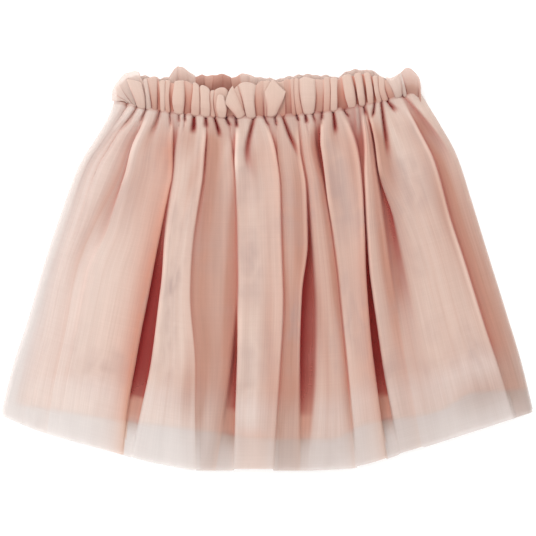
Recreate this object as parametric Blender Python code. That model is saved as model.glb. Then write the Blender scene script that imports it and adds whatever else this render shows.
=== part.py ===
"""A child's tulle skirt laid flat on a surface, front up, waist towards +Y and hem towards -Y.

The skirt is gathered on an elastic waist with a stand-up frill above the gathering line. Its net falls
from there in deep folds that lie over one another, and its hem hangs below a shorter lining. The net, the
frill and the lining each have a front and a back, and the back lies on the surface at z = 0.

Every piece is a wall round a middle surface. A point of that surface is found from how far across the
skirt it lies (0 left to 100 right) and how far down (0 at the gathering line to 1 at the hem), so the folds
fan out from the waist as the cloth does. Lengths are in millimetres until the mesh is made.
"""

from collections import namedtuple

import bmesh
import bpy
import numpy as np

MM = 0.001
TOWARDS_HEM = (0.0, -1.0, 0.0)

# Walls, and the height of the middle surface of each layer above the surface that the skirt lies on.
FOLDED_WALL = 1.0
FLAT_WALL = 1.0
FLAT_NET_WALL = 1.2
PIECE_GAP = 0.3
BACK_NET_Z = FLAT_NET_WALL / 2
BACK_LINING_Z = FLAT_NET_WALL + PIECE_GAP + FLAT_WALL / 2
FRONT_LINING_Z = BACK_LINING_Z + FLAT_WALL + PIECE_GAP
FOLD_FLOOR_Z = FRONT_LINING_Z + FLAT_WALL / 2 + PIECE_GAP + FOLDED_WALL / 2 + 0.4
WAIST_Z = 8.2

# The left and right edge of the skirt at each level down its length.
Level = namedtuple("Level", "down left right")
OUTLINE = (
    Level(0.00, -123.0, 122.5),
    Level(0.04, -126.7, 128.5),
    Level(0.10, -135.2, 138.0),
    Level(0.20, -150.6, 152.0),
    Level(0.35, -164.8, 164.6),
    Level(0.50, -177.4, 176.4),
    Level(0.70, -192.0, 192.4),
    Level(0.85, -204.1, 204.0),
    Level(1.00, -213.4, 213.4),
)

# The gathering line is a shallow curve: its lowest point, and how it rises with distance from there.
SEAM_LOW_X = -17.6
SEAM_LOW_Y = 121.2
SEAM_RISE = 0.00109
BACK_SEAM_LIFT = 8.0

# The lines of the two hems.
EdgePoint = namedtuple("EdgePoint", "x y")
HEM = (
    EdgePoint(-213.6, -117.5),
    EdgePoint(-184.8, -129.4),
    EdgePoint(-127.2, -145.8),
    EdgePoint(-88.8, -156.2),
    EdgePoint(-50.4, -161.8),
    EdgePoint(26.4, -161.8),
    EdgePoint(64.8, -160.2),
    EdgePoint(112.8, -147.0),
    EdgePoint(151.2, -135.0),
    EdgePoint(213.6, -114.8),
)
LINING_HEM = (
    EdgePoint(-204.0, -108.0),
    EdgePoint(-172.0, -112.5),
    EdgePoint(-118.0, -121.0),
    EdgePoint(-62.0, -127.5),
    EdgePoint(10.0, -136.0),
    EdgePoint(50.0, -136.0),
    EdgePoint(80.0, -123.0),
    EdgePoint(115.0, -118.0),
    EdgePoint(136.0, -113.0),
    EdgePoint(150.0, -99.0),
    EdgePoint(204.0, -96.5),
)
LINING_MARGIN = 3.0
LINING_TAPER = 9.0
BACK_HEM_SHORTER = 2.0

# The broad rises of cloth between the folds, from left to right. count is how many points a section has
# across the panel, the heights are of its crown at four levels, and short is how far its hem is turned up.
PANEL_DOWN = (0.10, 0.35, 0.70, 1.00)
Panel = namedtuple("Panel", "count heights short")
PANELS = (
    Panel(3, (8.2, 8.6, 8.2, 7.8), 0.0),
    Panel(2, (9.4, 9.8, 9.0, 8.6), 0.0),
    Panel(6, (11.0, 12.2, 11.4, 10.1), 0.0),
    Panel(3, (12.2, 14.3, 13.9, 12.2), 0.5),
    Panel(3, (10.3, 11.0, 10.6, 9.3), 0.0),
    Panel(5, (13.1, 16.4, 16.8, 14.3), 1.5),
    Panel(3, (9.7, 11.8, 11.8, 10.1), 0.0),
    Panel(3, (10.6, 12.8, 13.4, 11.0), 0.0),
    Panel(4, (13.1, 16.0, 16.4, 13.9), 1.2),
    Panel(1, (10.6, 12.6, 13.1, 11.4), 1.0),
    Panel(9, (11.8, 13.5, 13.1, 11.4), 0.0),
    Panel(4, (8.2, 8.6, 8.2, 7.8), 0.0),
)
DOME_POWER = 2.6
HEM_TURNS_UP = 0.8

# The folds between them. left and right are where the cloth on each side goes out of sight, in hundredths of
# the width, at each level. The edges are the heights of those two lines as a share of their panel's crown.
# Cloth with a tuck runs back under its own edge by that many millimetres, high up and low down the skirt.
# open says how far the fold has formed at each level, from 0, where the panels run on into each other.
FOLD_DOWN = (0.00, 0.10, 0.20, 0.35, 0.50, 0.70, 1.00)
Fold = namedtuple("Fold", "name left right edge_left edge_right tuck_left tuck_right open")
FOLDS = (
    Fold(
        "side_upper",
        (7.0, 3.8, 3.0, 3.2, 3.2, 3.6, 4.0),
        (8.0, 5.0, 4.8, 4.8, 4.2, 4.6, 5.0),
        0.85, 0.85, (0.0, 0.0), (0.0, 0.0),
        (0.4, 0.8, 0.6, 0.25, 0.0, 0.0, 0.0),
    ),
    Fold(
        "side_long",
        (10.4, 9.5, 10.5, 8.4, 7.0, 7.6, 8.4),
        (11.2, 10.4, 12.0, 11.7, 10.0, 10.2, 11.0),
        0.80, 0.92, (0.0, 0.0), (4.5, 0.0),
        (0.5, 1.0, 1.0, 0.55, 0.25, 0.1, 0.0),
    ),
    Fold(
        "left_gap",
        (18.9, 21.6, 24.4, 24.3, 23.8, 23.0, 22.8),
        (22.2, 23.4, 25.3, 27.1, 26.8, 26.1, 24.9),
        0.88, 0.92, (3.0, 3.0), (4.0, 5.5),
        (0.5, 1.0, 1.0, 1.0, 1.0, 1.0, 0.85),
    ),
    Fold(
        "left_valley",
        (30.0, 31.1, 32.3, 32.1, 32.7, 35.0, 36.6),
        (30.9, 32.4, 34.4, 36.2, 35.7, 37.0, 37.6),
        0.92, 0.75, (3.0, 5.0), (0.0, 0.0),
        (0.4, 0.85, 0.85, 0.55, 0.45, 0.35, 0.0),
    ),
    Fold(
        "centre_left",
        (38.4, 39.4, 41.2, 42.4, 43.2, 42.5, 40.1),
        (40.1, 40.2, 41.7, 43.0, 43.7, 43.7, 43.9),
        0.66, 0.92, (0.0, 0.0), (6.5, 12.0),
        (0.5, 1.0, 1.0, 1.0, 1.0, 1.0, 0.85),
    ),
    Fold(
        "centre_right",
        (49.8, 51.6, 53.1, 53.4, 53.7, 52.6, 51.1),
        (52.4, 52.7, 53.8, 54.6, 54.7, 53.8, 52.4),
        0.92, 0.66, (6.5, 14.0), (0.0, 0.0),
        (0.5, 1.0, 1.0, 1.0, 1.0, 1.0, 0.85),
    ),
    Fold(
        "right_centre_gap",
        (59.6, 59.1, 59.9, 59.8, 58.0, 56.7, 56.0),
        (60.5, 60.2, 60.9, 61.1, 61.4, 60.4, 57.9),
        0.80, 0.85, (0.0, 2.0), (2.0, 0.0),
        (0.4, 0.8, 0.85, 1.0, 1.0, 0.9, 0.3),
    ),
    Fold(
        "right_inner",
        (67.0, 63.8, 64.8, 65.8, 66.3, 66.2, 66.4),
        (67.8, 65.0, 65.3, 66.3, 66.7, 66.7, 66.9),
        0.75, 0.92, (0.0, 0.0), (6.5, 12.0),
        (0.5, 1.0, 1.0, 1.0, 1.0, 1.0, 0.85),
    ),
    Fold(
        "right_gap",
        (74.6, 75.0, 74.6, 73.7, 72.7, 72.0, 72.3),
        (79.0, 77.9, 75.7, 74.4, 73.7, 73.5, 75.0),
        0.88, 0.85, (3.0, 4.0), (0.0, 0.0),
        (0.5, 1.0, 1.0, 1.0, 1.0, 1.0, 0.8),
    ),
    Fold(
        "right_valley",
        (82.2, 79.9, 78.8, 78.5, 78.2, 78.0, 78.7),
        (82.9, 80.6, 79.4, 81.2, 81.8, 82.2, 83.3),
        0.72, 0.92, (0.0, 0.0), (4.5, 0.0),
        (0.4, 0.9, 1.0, 0.9, 0.5, 0.15, 0.0),
    ),
    Fold(
        "side_overlap",
        (93.8, 93.7, 93.9, 93.9, 94.5, 95.0, 96.2),
        (94.6, 94.5, 94.7, 94.7, 95.4, 95.9, 97.0),
        0.78, 0.90, (2.5, 4.0), (0.0, 0.0),
        (0.4, 1.0, 1.0, 1.0, 1.0, 1.0, 0.7),
    ),
)
FOLD_POINTS = 10
FOLD_REACH = 3.4
LIP_RUN = 2.2
LIP_DROP = 1.1
CORNER_RUN = 2.0
ROOM_SHARE = 0.24
TUCK_UPPER_DOWN = 0.15
TUCK_LOWER_DOWN = 0.5
TUCK_FORMS = 0.22
FOLD_STARTS = 0.008
FOLD_FORMS = 0.075
DEEP_ROOM = 5.5
FLOOR_SHARE = 0.36
FULL_TUCK = 2.0
CORNER_LIFT = 1.7
CORNER_SHARE = 0.3
BACK_SHARE = 0.52
LEAST_ABOVE_FLOOR = -0.1

# The skirt's two sides, where its section comes down to the back: x in from the edge, and z.
SideCorner = namedtuple("SideCorner", "inset z")
SIDES = (SideCorner(0.65, 2.15), SideCorner(0.95, 4.4), SideCorner(3.0, 6.6))

# Short hollows that start at the gathering line and run out on a panel.
Hollow = namedtuple("Hollow", "across_top across_end down width depth")
HOLLOWS = (
    Hollow(13.6, 15.4, 0.10, 4.5, 2.6),
    Hollow(45.3, 44.4, 0.22, 4.5, 5.0),
    Hollow(55.3, 60.0, 0.16, 4.0, 3.0),
    Hollow(71.8, 71.2, 0.08, 4.5, 3.2),
    Hollow(87.4, 88.2, 0.17, 5.0, 3.8),
    Hollow(95.1, 96.9, 0.22, 6.0, 1.6),
)
HOLLOW_START = 0.35
HOLLOW_GROWS = 3.0

# The cloth is gathered small at the waist, and the gathers die out down the skirt.
GATHER_POINTS = 4
GATHER_HEIGHT = 1.9
GATHER_STEEP = 0.22
GATHER_REACH = 0.055

SECTION_DOWN = (0.0, 0.02, 0.04, 0.065, 0.09, 0.12, 0.16, 0.24, 0.34, 0.46, 0.6, 0.8, 1.0)

# The frill: the creases between its waves, each with the x of its foot, how far that is above the gathering
# line, the x of its head and the head's height above the line. wave is how far the cloth to its right
# stands out before the next crease, and rise is how much higher its top edge is halfway there.
Crease = namedtuple("Crease", "foot lift head height wave rise")
FRONT_FRILL = (
    Crease(-116.8, 1.5, -126.0, 4.5, 0.8, 0.0),
    Crease(-112.8, 1.2, -124.6, 12.0, 1.4, 1.5),
    Crease(-108.6, 0.6, -119.2, 20.5, 1.6, 1.5),
    Crease(-104.0, 0.0, -111.2, 26.1, 1.5, 0.8),
    Crease(-101.6, 0.0, -102.4, 27.8, -1.0, 0.0),
    Crease(-97.2, 0.0, -99.2, 20.3, 3.5, 0.8),
    Crease(-92.0, 0.0, -95.6, 24.2, 3.0, 0.3),
    Crease(-88.0, 0.0, -87.6, 25.1, -1.5, 0.3),
    Crease(-85.6, 0.0, -86.4, 22.0, 3.2, 0.5),
    Crease(-81.6, 0.0, -81.2, 23.2, 2.6, 0.4),
    Crease(-77.2, 0.0, -77.2, 24.1, -3.0, 0.0),
    Crease(-74.4, 0.0, -74.4, 22.1, 5.0, 1.2),
    Crease(-66.8, 0.0, -66.0, 24.6, 1.0, 0.9),
    Crease(-61.2, 0.0, -59.2, 23.7, 4.5, 1.5),
    Crease(-53.6, 0.0, -54.0, 21.0, 5.0, 2.2),
    Crease(-45.2, 0.0, -45.6, 18.7, 2.0, 0.5),
    Crease(-40.8, 0.0, -42.0, 20.2, 3.5, 1.2),
    Crease(-32.8, 0.0, -31.2, 19.8, -2.5, 0.0),
    Crease(-24.8, 0.0, -28.0, 16.7, 4.0, 0.5),
    Crease(-16.8, 0.0, -23.2, 24.8, 5.0, 1.2),
    Crease(-8.4, 0.0, -8.4, 25.1, 1.0, 0.8),
    Crease(-2.4, 0.0, -2.8, 27.8, 4.5, 0.5),
    Crease(8.0, 0.0, 6.4, 25.8, -2.0, 0.0),
    Crease(15.2, 0.0, 13.6, 26.9, -1.0, 0.4),
    Crease(19.6, 0.0, 18.4, 27.8, 2.2, 0.4),
    Crease(23.6, 0.0, 21.6, 27.5, 2.4, 0.3),
    Crease(29.2, 0.0, 25.6, 26.8, 5.0, 0.7),
    Crease(38.0, 0.0, 38.8, 25.7, 0.5, 0.4),
    Crease(44.8, 0.0, 45.2, 25.3, 3.0, 0.3),
    Crease(50.4, 0.0, 50.4, 24.6, 4.0, 0.4),
    Crease(56.8, 0.0, 56.8, 23.2, -1.5, 0.6),
    Crease(65.2, 0.0, 60.0, 23.4, 4.5, 0.5),
    Crease(72.0, 0.0, 68.0, 23.6, -2.0, 0.0),
    Crease(74.4, 0.0, 70.2, 23.3, 4.5, 0.8),
    Crease(78.8, 0.0, 75.6, 23.3, -2.0, 0.0),
    Crease(81.2, 0.0, 78.0, 22.9, 4.0, 0.6),
    Crease(85.4, 0.0, 82.6, 21.0, -2.0, 0.0),
    Crease(88.0, 0.0, 84.8, 19.1, 4.0, 0.8),
    Crease(92.4, 0.0, 89.2, 18.0, 3.0, 0.8),
    Crease(97.6, 0.0, 94.4, 14.7, 1.0, 0.2),
    Crease(103.2, 0.0, 100.0, 11.3, 1.0, 0.0),
    Crease(108.8, 0.0, 103.2, 13.7, 3.0, 2.5),
    Crease(116.0, 0.0, 112.0, 18.3, 3.0, 2.5),
    Crease(120.4, 0.0, 121.0, 11.1, 1.5, 1.0),
    Crease(122.4, 0.0, 124.6, 4.0, 0.0, 0.0),
)
FRONT_FRILL_Z = 8.2
FRONT_FRILL_RISE = 2.4

# The frill of the back stands in plain waves: the line of its top edge.
BACK_FRILL_TOP = (
    EdgePoint(-123.2, 141.2),
    EdgePoint(-113.6, 150.8),
    EdgePoint(-101.6, 154.0),
    EdgePoint(-85.6, 151.2),
    EdgePoint(-80.0, 152.4),
    EdgePoint(-71.2, 161.6),
    EdgePoint(-63.2, 158.0),
    EdgePoint(-58.4, 152.8),
    EdgePoint(-32.8, 154.8),
    EdgePoint(-28.8, 152.0),
    EdgePoint(-23.2, 154.8),
    EdgePoint(-4.0, 152.0),
    EdgePoint(6.4, 150.8),
    EdgePoint(18.4, 153.2),
    EdgePoint(34.4, 154.8),
    EdgePoint(58.4, 152.4),
    EdgePoint(64.8, 158.0),
    EdgePoint(80.8, 158.0),
    EdgePoint(95.2, 150.8),
    EdgePoint(122.4, 146.0),
)
BACK_FRILL_WAVES = 34
BACK_FRILL_SIDE_X = 120.0
BACK_FRILL_SPREAD = 1.01
BACK_FRILL_WAVE = 1.4
BACK_FRILL_UNEVEN = 1.4
BACK_FRILL_TURN = 2.3
BACK_FRILL_Z = 1.6
BACK_FRILL_RISE = 1.2

# Its waves stand out less at the foot and the head, and no steeper than their width allows.
FrillLevel = namedtuple("FrillLevel", "up grown")
FRILL_LEVELS = (FrillLevel(0.0, 0.45), FrillLevel(0.3, 0.9), FrillLevel(0.65, 1.0), FrillLevel(1.0, 0.8))
WAVE_POINTS = 4
WAVE_STEEP = 0.42
WAVE_NARROW = 0.075
WAVE_POWER = 2.4
WAVE_ROUND = 0.7

FLAT_COLUMNS = 28
FLAT_DOWN = (0.0, 0.1, 0.25, 0.5, 0.75, 1.0)

NET_COLOUR = (0.72, 0.46, 0.38)
LINING_COLOUR = (0.70, 0.33, 0.25)


def curve(at, knots, values):
    """A smooth curve through the values, which never swings past them between two knots."""
    knots = np.asarray(knots, float)
    values = np.asarray(values, float)
    steps = np.diff(values) / np.diff(knots)
    inner = np.where(
        steps[:-1] * steps[1:] > 0,
        2 * steps[:-1] * steps[1:] / (steps[:-1] + steps[1:] + (steps[:-1] + steps[1:] == 0)),
        0.0,
    )
    slopes = np.concatenate([steps[:1], inner, steps[-1:]])
    at = np.clip(np.asarray(at, float), knots[0], knots[-1])
    k = np.clip(np.searchsorted(knots, at, side="right") - 1, 0, len(knots) - 2)
    span = knots[k + 1] - knots[k]
    t = (at - knots[k]) / span
    return (
        (2 * t**3 - 3 * t**2 + 1) * values[k]
        + (t**3 - 2 * t**2 + t) * span * slopes[k]
        + (3 * t**2 - 2 * t**3) * values[k + 1]
        + (t**3 - t**2) * span * slopes[k + 1]
    )


def ease(t):
    t = np.clip(t, 0.0, 1.0)
    return t * t * (3 - 2 * t)


def edges_at(down):
    """The x of the skirt's left and right edge at a level."""
    levels = [row.down for row in OUTLINE]
    left = curve(down, levels, [row.left for row in OUTLINE])
    right = curve(down, levels, [row.right for row in OUTLINE])
    return left, right


def seam_y(x):
    return SEAM_LOW_Y + SEAM_RISE * (x - SEAM_LOW_X) ** 2


def back_seam_y(x):
    return seam_y(x) + BACK_SEAM_LIFT * (1 - np.minimum(1, (x / OUTLINE[0].right) ** 2))


def hem_y(x, line=HEM):
    return curve(x, [point.x for point in line], [point.y for point in line])


def fan_y(x, down, seam=seam_y, hem=hem_y):
    """The y of a point at x, a share of the way from the gathering line to the hem."""
    left, right = edges_at(down)
    across = (x - left) / (right - left)
    top = seam(OUTLINE[0].left + across * (OUTLINE[0].right - OUTLINE[0].left))
    bottom = hem(OUTLINE[-1].left + across * (OUTLINE[-1].right - OUTLINE[-1].left))
    return top + down * (bottom - top)


def panel_height(panel, down):
    """The crown of a panel, which rises from the waist and then follows its own heights."""
    formed = ease(down / PANEL_DOWN[0])
    settled = curve(max(down, PANEL_DOWN[0]), PANEL_DOWN, panel.heights)
    return WAIST_Z + formed * (settled - WAIST_Z)


def side_of_fold(edge_x, edge_z, run, tuck, floor_reach, out):
    """Five points from a panel's edge down to the floor of the fold beside it, on its right where out is +1."""
    top = (edge_x - out * run, edge_z)
    lip = (edge_x, edge_z - LIP_DROP)
    depth = lip[1] - FOLD_FLOOR_Z
    under = edge_x - out * tuck
    beyond = edge_x + out * floor_reach / 2
    tucked = ease(tuck / FULL_TUCK)
    corner_x = beyond + tucked * (under - beyond)
    start_x = corner_x + out * min(CORNER_RUN, floor_reach / 2)
    corner = (corner_x, FOLD_FLOOR_Z + min(CORNER_LIFT, CORNER_SHARE * depth))
    back = ((lip[0] + corner[0]) / 2, FOLD_FLOOR_Z + BACK_SHARE * depth)
    return [top, lip, back, corner, (start_x, FOLD_FLOOR_Z)]


def fold_lines(down):
    """The x of each fold's two edges at a level, as rows of left and right."""
    left_edge, right_edge = edges_at(down)
    width = (right_edge - left_edge) / 100
    lines = [(curve(down, FOLD_DOWN, fold.left), curve(down, FOLD_DOWN, fold.right)) for fold in FOLDS]
    return left_edge + width * np.array(lines)


def fold_points(fold, down, lines, rooms, crowns):
    """The section of one fold, left to right, as FOLD_POINTS points of x and z.

    lines, rooms and crowns each hold a left and a right value: the fold's edges, how wide the panel beside
    each is, and how high that panel is.
    """
    lower = ease((down - TUCK_UPPER_DOWN) / (TUCK_LOWER_DOWN - TUCK_UPPER_DOWN))
    tucks = [
        (tuck[0] + lower * (tuck[1] - tuck[0])) * ease(down / TUCK_FORMS)
        for tuck in (fold.tuck_left, fold.tuck_right)
    ]
    room = lines[1] - lines[0] + sum(tucks)
    reach = FLOOR_SHARE * room
    runs = [min(LIP_RUN, ROOM_SHARE * beside) for beside in rooms]
    left = side_of_fold(lines[0], fold.edge_left * crowns[0], runs[0], tucks[0], reach, 1)
    right = side_of_fold(lines[1], fold.edge_right * crowns[1], runs[1], tucks[1], reach, -1)
    full = np.array(left + right[::-1])
    reaches = [min(FOLD_REACH, ROOM_SHARE * beside) for beside in rooms]
    flat_x = np.linspace(lines[0] - reaches[0], lines[1] + reaches[1], FOLD_POINTS)
    flat_z = np.linspace(crowns[0], crowns[1], FOLD_POINTS)
    flat = np.stack([flat_x, flat_z], axis=1)
    formed = curve(down, FOLD_DOWN, fold.open) * ease((down - FOLD_STARTS) / FOLD_FORMS)
    formed = formed * ease(room / DEEP_ROOM)
    return flat + formed * (full - flat)


def panel_points(panel, crown, start, end):
    """The points across a panel, on a flattened dome between the last and the next fold."""
    t = np.arange(1, panel.count + 1) / (panel.count + 1)
    x = start[0] + t * (end[0] - start[0])
    ends = start[1] + t * (end[1] - start[1])
    dome = 1 - np.abs(2 * t - 1) ** DOME_POWER
    return np.stack([x, ends + dome * (crown - (start[1] + end[1]) / 2)], axis=1)


def gathers(points, down):
    """The small waves of the gathered waist, no steeper than the spacing of the points allows."""
    pitch = GATHER_POINTS * np.abs(np.gradient(points[:, 0]))
    height = np.minimum(GATHER_HEIGHT, GATHER_STEEP * pitch) * np.exp(-((down / GATHER_REACH) ** 2))
    index = np.arange(len(points))
    return height * np.sin(2 * np.pi * index / GATHER_POINTS)


def hollows(points, down):
    left, right = edges_at(down)
    drop = np.zeros(len(points))
    for hollow in HOLLOWS:
        reach = min(down / hollow.down, 1)
        across = hollow.across_top + reach * (hollow.across_end - hollow.across_top)
        centre = left + (right - left) * across / 100
        shape = np.exp(-(((points[:, 0] - centre) / (hollow.width / 2)) ** 2))
        drop += hollow.depth * shape * ease(HOLLOW_START + reach * HOLLOW_GROWS) * (1 - ease(reach))
    return drop


def net_section(down):
    """The front net's section at a level, as rows of x and z, and how far each point's hem is turned up."""
    left, right = edges_at(down)
    crowns = [panel_height(panel, down) for panel in PANELS]
    lines = fold_lines(down)
    bounds = np.concatenate([[left], lines.ravel(), [right]])
    rooms = np.diff(bounds)[::2]
    folds = [
        fold_points(fold, down, lines[k], rooms[k : k + 2], crowns[k : k + 2])
        for k, fold in enumerate(FOLDS)
    ]
    left_side = np.array([[left + row.inset, row.z] for row in SIDES])
    right_side = np.array([[right - row.inset, row.z] for row in SIDES[::-1]])
    pieces = [left_side]
    short = [np.zeros(len(left_side))]
    starts = [left_side[-1]] + [fold[-1] for fold in folds]
    ends = [fold[0] for fold in folds] + [right_side[0]]
    for k, panel in enumerate(PANELS):
        pieces.append(panel_points(panel, crowns[k], starts[k], ends[k]))
        short.append(np.full(panel.count, panel.short))
        if k < len(FOLDS):
            pieces.append(folds[k])
            after = PANELS[k + 1].short
            middle = np.zeros(FOLD_POINTS - 6)
            short.append(np.concatenate([np.full(3, panel.short), middle, np.full(3, after)]))
    pieces.append(right_side)
    short.append(np.zeros(len(right_side)))
    points = np.concatenate(pieces)
    points[:, 1] += gathers(points, down) - hollows(points, down)
    lowest = FOLD_FLOOR_Z + LEAST_ABOVE_FLOOR
    inner = slice(len(SIDES), -len(SIDES))
    points[inner, 1] = np.maximum(points[inner, 1], lowest)
    return points, np.concatenate(short)


def front_net():
    rows = []
    for down in SECTION_DOWN:
        points, short = net_section(down)
        y = fan_y(points[:, 0], down) + short * ease((down - HEM_TURNS_UP) / (1 - HEM_TURNS_UP))
        if down == 0:
            y = y - PIECE_GAP / 2
        rows.append(np.stack([points[:, 0], y, points[:, 1]], axis=1))
    return np.array(rows)


def flat_panel(z, seam, hem, margin, taper):
    rows = []
    for down in FLAT_DOWN:
        left, right = edges_at(down)
        inset = margin + taper * down
        x = np.linspace(left + inset, right - inset, FLAT_COLUMNS)
        y = fan_y(x, down, seam, hem)
        if down == 0:
            y = y - PIECE_GAP / 2
        rows.append(np.stack([x, y, np.full(FLAT_COLUMNS, z)], axis=1))
    return np.array(rows)


def back_hem_y(x):
    return hem_y(x) + BACK_HEM_SHORTER


def lining_hem_y(x):
    return hem_y(x, LINING_HEM)


def back_lining_hem_y(x):
    return hem_y(x, LINING_HEM) + BACK_HEM_SHORTER


def back_frill_creases():
    feet = np.linspace(-BACK_FRILL_SIDE_X, BACK_FRILL_SIDE_X, BACK_FRILL_WAVES + 1)
    heads = BACK_FRILL_SPREAD * feet
    top = curve(heads, [point.x for point in BACK_FRILL_TOP], [point.y for point in BACK_FRILL_TOP])
    heights = top - back_seam_y(feet)
    waves = BACK_FRILL_WAVE + BACK_FRILL_UNEVEN * np.sin(BACK_FRILL_TURN * np.arange(len(feet)))
    return [Crease(*row, 0.0) for row in zip(feet, 0 * feet, heads, heights, waves)]


def frill(creases, seam, foot_z, climb):
    """A frill's rows, from its top edge down to the gathering line."""
    table = np.array(creases)
    step = np.arange((len(table) - 1) * WAVE_POINTS + 1) / WAVE_POINTS
    k = np.minimum(step.astype(int), len(table) - 2)
    u = step - k
    foot_x, lift, head_x, height = (table[k, :4] + u[:, None] * (table[k + 1, :4] - table[k, :4])).T
    wave, rise = table[k, 4:].T
    width = table[k + 1, 0] - table[k, 0]
    steepest = np.minimum(WAVE_STEEP * width, WAVE_NARROW * width**2)
    wave = np.clip(wave, -steepest, steepest)
    rounded = (1 - np.abs(2 * u - 1) ** WAVE_POWER) ** WAVE_ROUND
    foot_y = seam(foot_x) + lift + PIECE_GAP / 2
    head_y = seam(foot_x) + height + rise * (1 - (2 * u - 1) ** 2)
    rows = []
    for level in FRILL_LEVELS[::-1]:
        x = foot_x + level.up * (head_x - foot_x)
        y = foot_y + level.up * (head_y - foot_y)
        z = foot_z + climb * level.up + wave * rounded * level.grown
        rows.append(np.stack([x, y, z], axis=1))
    return np.array(rows)


def wall(name, middle, thickness, material, down=TOWARDS_HEM):
    """One closed solid: the middle surface moved half the thickness each way, square to its rows."""
    steps = np.diff(middle, axis=1)
    steps /= np.linalg.norm(steps, axis=2, keepdims=True)
    across = np.concatenate([steps[:, :1], steps[:, :-1] + steps[:, 1:], steps[:, -1:]], axis=1)
    normal = np.cross(down, across)
    normal /= np.linalg.norm(normal, axis=2, keepdims=True)
    rows, columns = middle.shape[:2]
    mesh = bmesh.new()
    layers = []
    for side in (0.5, -0.5):
        points = (middle + side * thickness * normal) * MM
        layers.append([[mesh.verts.new(point) for point in row] for row in points])
    upper, lower = layers
    for j in range(rows - 1):
        for i in range(columns - 1):
            mesh.faces.new((upper[j][i], upper[j + 1][i], upper[j + 1][i + 1], upper[j][i + 1]))
            mesh.faces.new((lower[j][i], lower[j][i + 1], lower[j + 1][i + 1], lower[j + 1][i]))
    for i in range(columns - 1):
        mesh.faces.new((upper[0][i], upper[0][i + 1], lower[0][i + 1], lower[0][i]))
        mesh.faces.new((upper[-1][i + 1], upper[-1][i], lower[-1][i], lower[-1][i + 1]))
    for j in range(rows - 1):
        mesh.faces.new((upper[j + 1][0], upper[j][0], lower[j][0], lower[j + 1][0]))
        mesh.faces.new((upper[j][-1], upper[j + 1][-1], lower[j + 1][-1], lower[j][-1]))
    bmesh.ops.recalc_face_normals(mesh, faces=mesh.faces)
    data = bpy.data.meshes.new(name)
    mesh.to_mesh(data)
    mesh.free()
    data.shade_smooth()
    data.materials.append(material)
    obj = bpy.data.objects.new(name, data)
    bpy.context.scene.collection.objects.link(obj)
    return obj


def cloth(name, colour, roughness, alpha):
    material = bpy.data.materials.new(name)
    material.use_nodes = True
    shader = material.node_tree.nodes["Principled BSDF"]
    shader.inputs["Base Color"].default_value = (*colour, 1)
    shader.inputs["Roughness"].default_value = roughness
    shader.inputs["Metallic"].default_value = 0
    shader.inputs["Alpha"].default_value = alpha
    return material


def clear_scene():
    for obj in list(bpy.data.objects):
        bpy.data.objects.remove(obj)


def main():
    clear_scene()
    net = cloth("soft_net", NET_COLOUR, 0.8, 0.75)
    lining = cloth("lining_cloth", LINING_COLOUR, 0.7, 1.0)
    wall("tulle_front", front_net(), FOLDED_WALL, net)
    back = flat_panel(BACK_NET_Z, back_seam_y, back_hem_y, 0.0, 0.0)
    wall("tulle_back", back, FLAT_NET_WALL, net)
    front_lining = flat_panel(
        FRONT_LINING_Z, seam_y, lining_hem_y, LINING_MARGIN, LINING_TAPER
    )
    wall("lining_front", front_lining, FLAT_WALL, lining)
    back_lining = flat_panel(
        BACK_LINING_Z, back_seam_y, back_lining_hem_y, LINING_MARGIN, LINING_TAPER
    )
    wall("lining_back", back_lining, FLAT_WALL, lining)
    front_frill = frill(FRONT_FRILL, seam_y, FRONT_FRILL_Z, FRONT_FRILL_RISE)
    wall("waist_frill_front", front_frill, FOLDED_WALL, net, np.gradient(front_frill, axis=0))
    back_frill = frill(back_frill_creases(), back_seam_y, BACK_FRILL_Z, BACK_FRILL_RISE)
    wall("waist_frill_back", back_frill, FLAT_NET_WALL, net, np.gradient(back_frill, axis=0))


main()
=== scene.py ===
import math

import bpy
import numpy as np
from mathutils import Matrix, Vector


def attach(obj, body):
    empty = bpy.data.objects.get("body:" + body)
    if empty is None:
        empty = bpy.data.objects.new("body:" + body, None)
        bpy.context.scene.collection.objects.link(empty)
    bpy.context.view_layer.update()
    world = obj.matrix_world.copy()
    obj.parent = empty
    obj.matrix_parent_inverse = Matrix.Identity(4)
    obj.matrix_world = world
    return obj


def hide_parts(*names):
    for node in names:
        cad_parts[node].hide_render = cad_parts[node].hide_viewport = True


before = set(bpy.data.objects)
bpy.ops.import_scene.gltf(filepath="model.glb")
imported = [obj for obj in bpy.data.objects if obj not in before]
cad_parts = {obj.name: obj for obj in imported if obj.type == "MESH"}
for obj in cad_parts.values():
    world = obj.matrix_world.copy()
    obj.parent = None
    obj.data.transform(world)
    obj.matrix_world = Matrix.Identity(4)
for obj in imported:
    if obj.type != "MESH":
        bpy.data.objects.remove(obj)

# The skirt lies front up at z = 0, waist towards +Y. The tables below are in millimetres, and a point of
# the net is found from how far across the skirt it lies (0 left to 100 right) and how far down
# (0 at the gathering line, 1 at the hem), so that every fold fans out from the waist.
bpy.ops.object.select_all(action="DESELECT")
mm = 0.001
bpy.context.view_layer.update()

cameraSetup = {
    "height": 3.2,  # metres above the floor, straight over the skirt
    "width": 0.4288,  # metres of floor across the picture
    "middle": (0.0008, 0.0004),
    "clothHeight": 0.012,  # where that width is measured
}


def makeCamera():
    data = bpy.data.cameras.new("overheadCamera")
    data.sensor_width = 36
    data.lens = 36 * (cameraSetup["height"] - cameraSetup["clothHeight"]) / cameraSetup["width"]
    data.clip_end = 20
    camera = bpy.data.objects.new("overheadCamera", data)
    camera.location = (*cameraSetup["middle"], cameraSetup["height"])
    bpy.context.scene.collection.objects.link(camera)
    bpy.context.scene.camera = camera


# shapes shared by all the cloth


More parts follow.
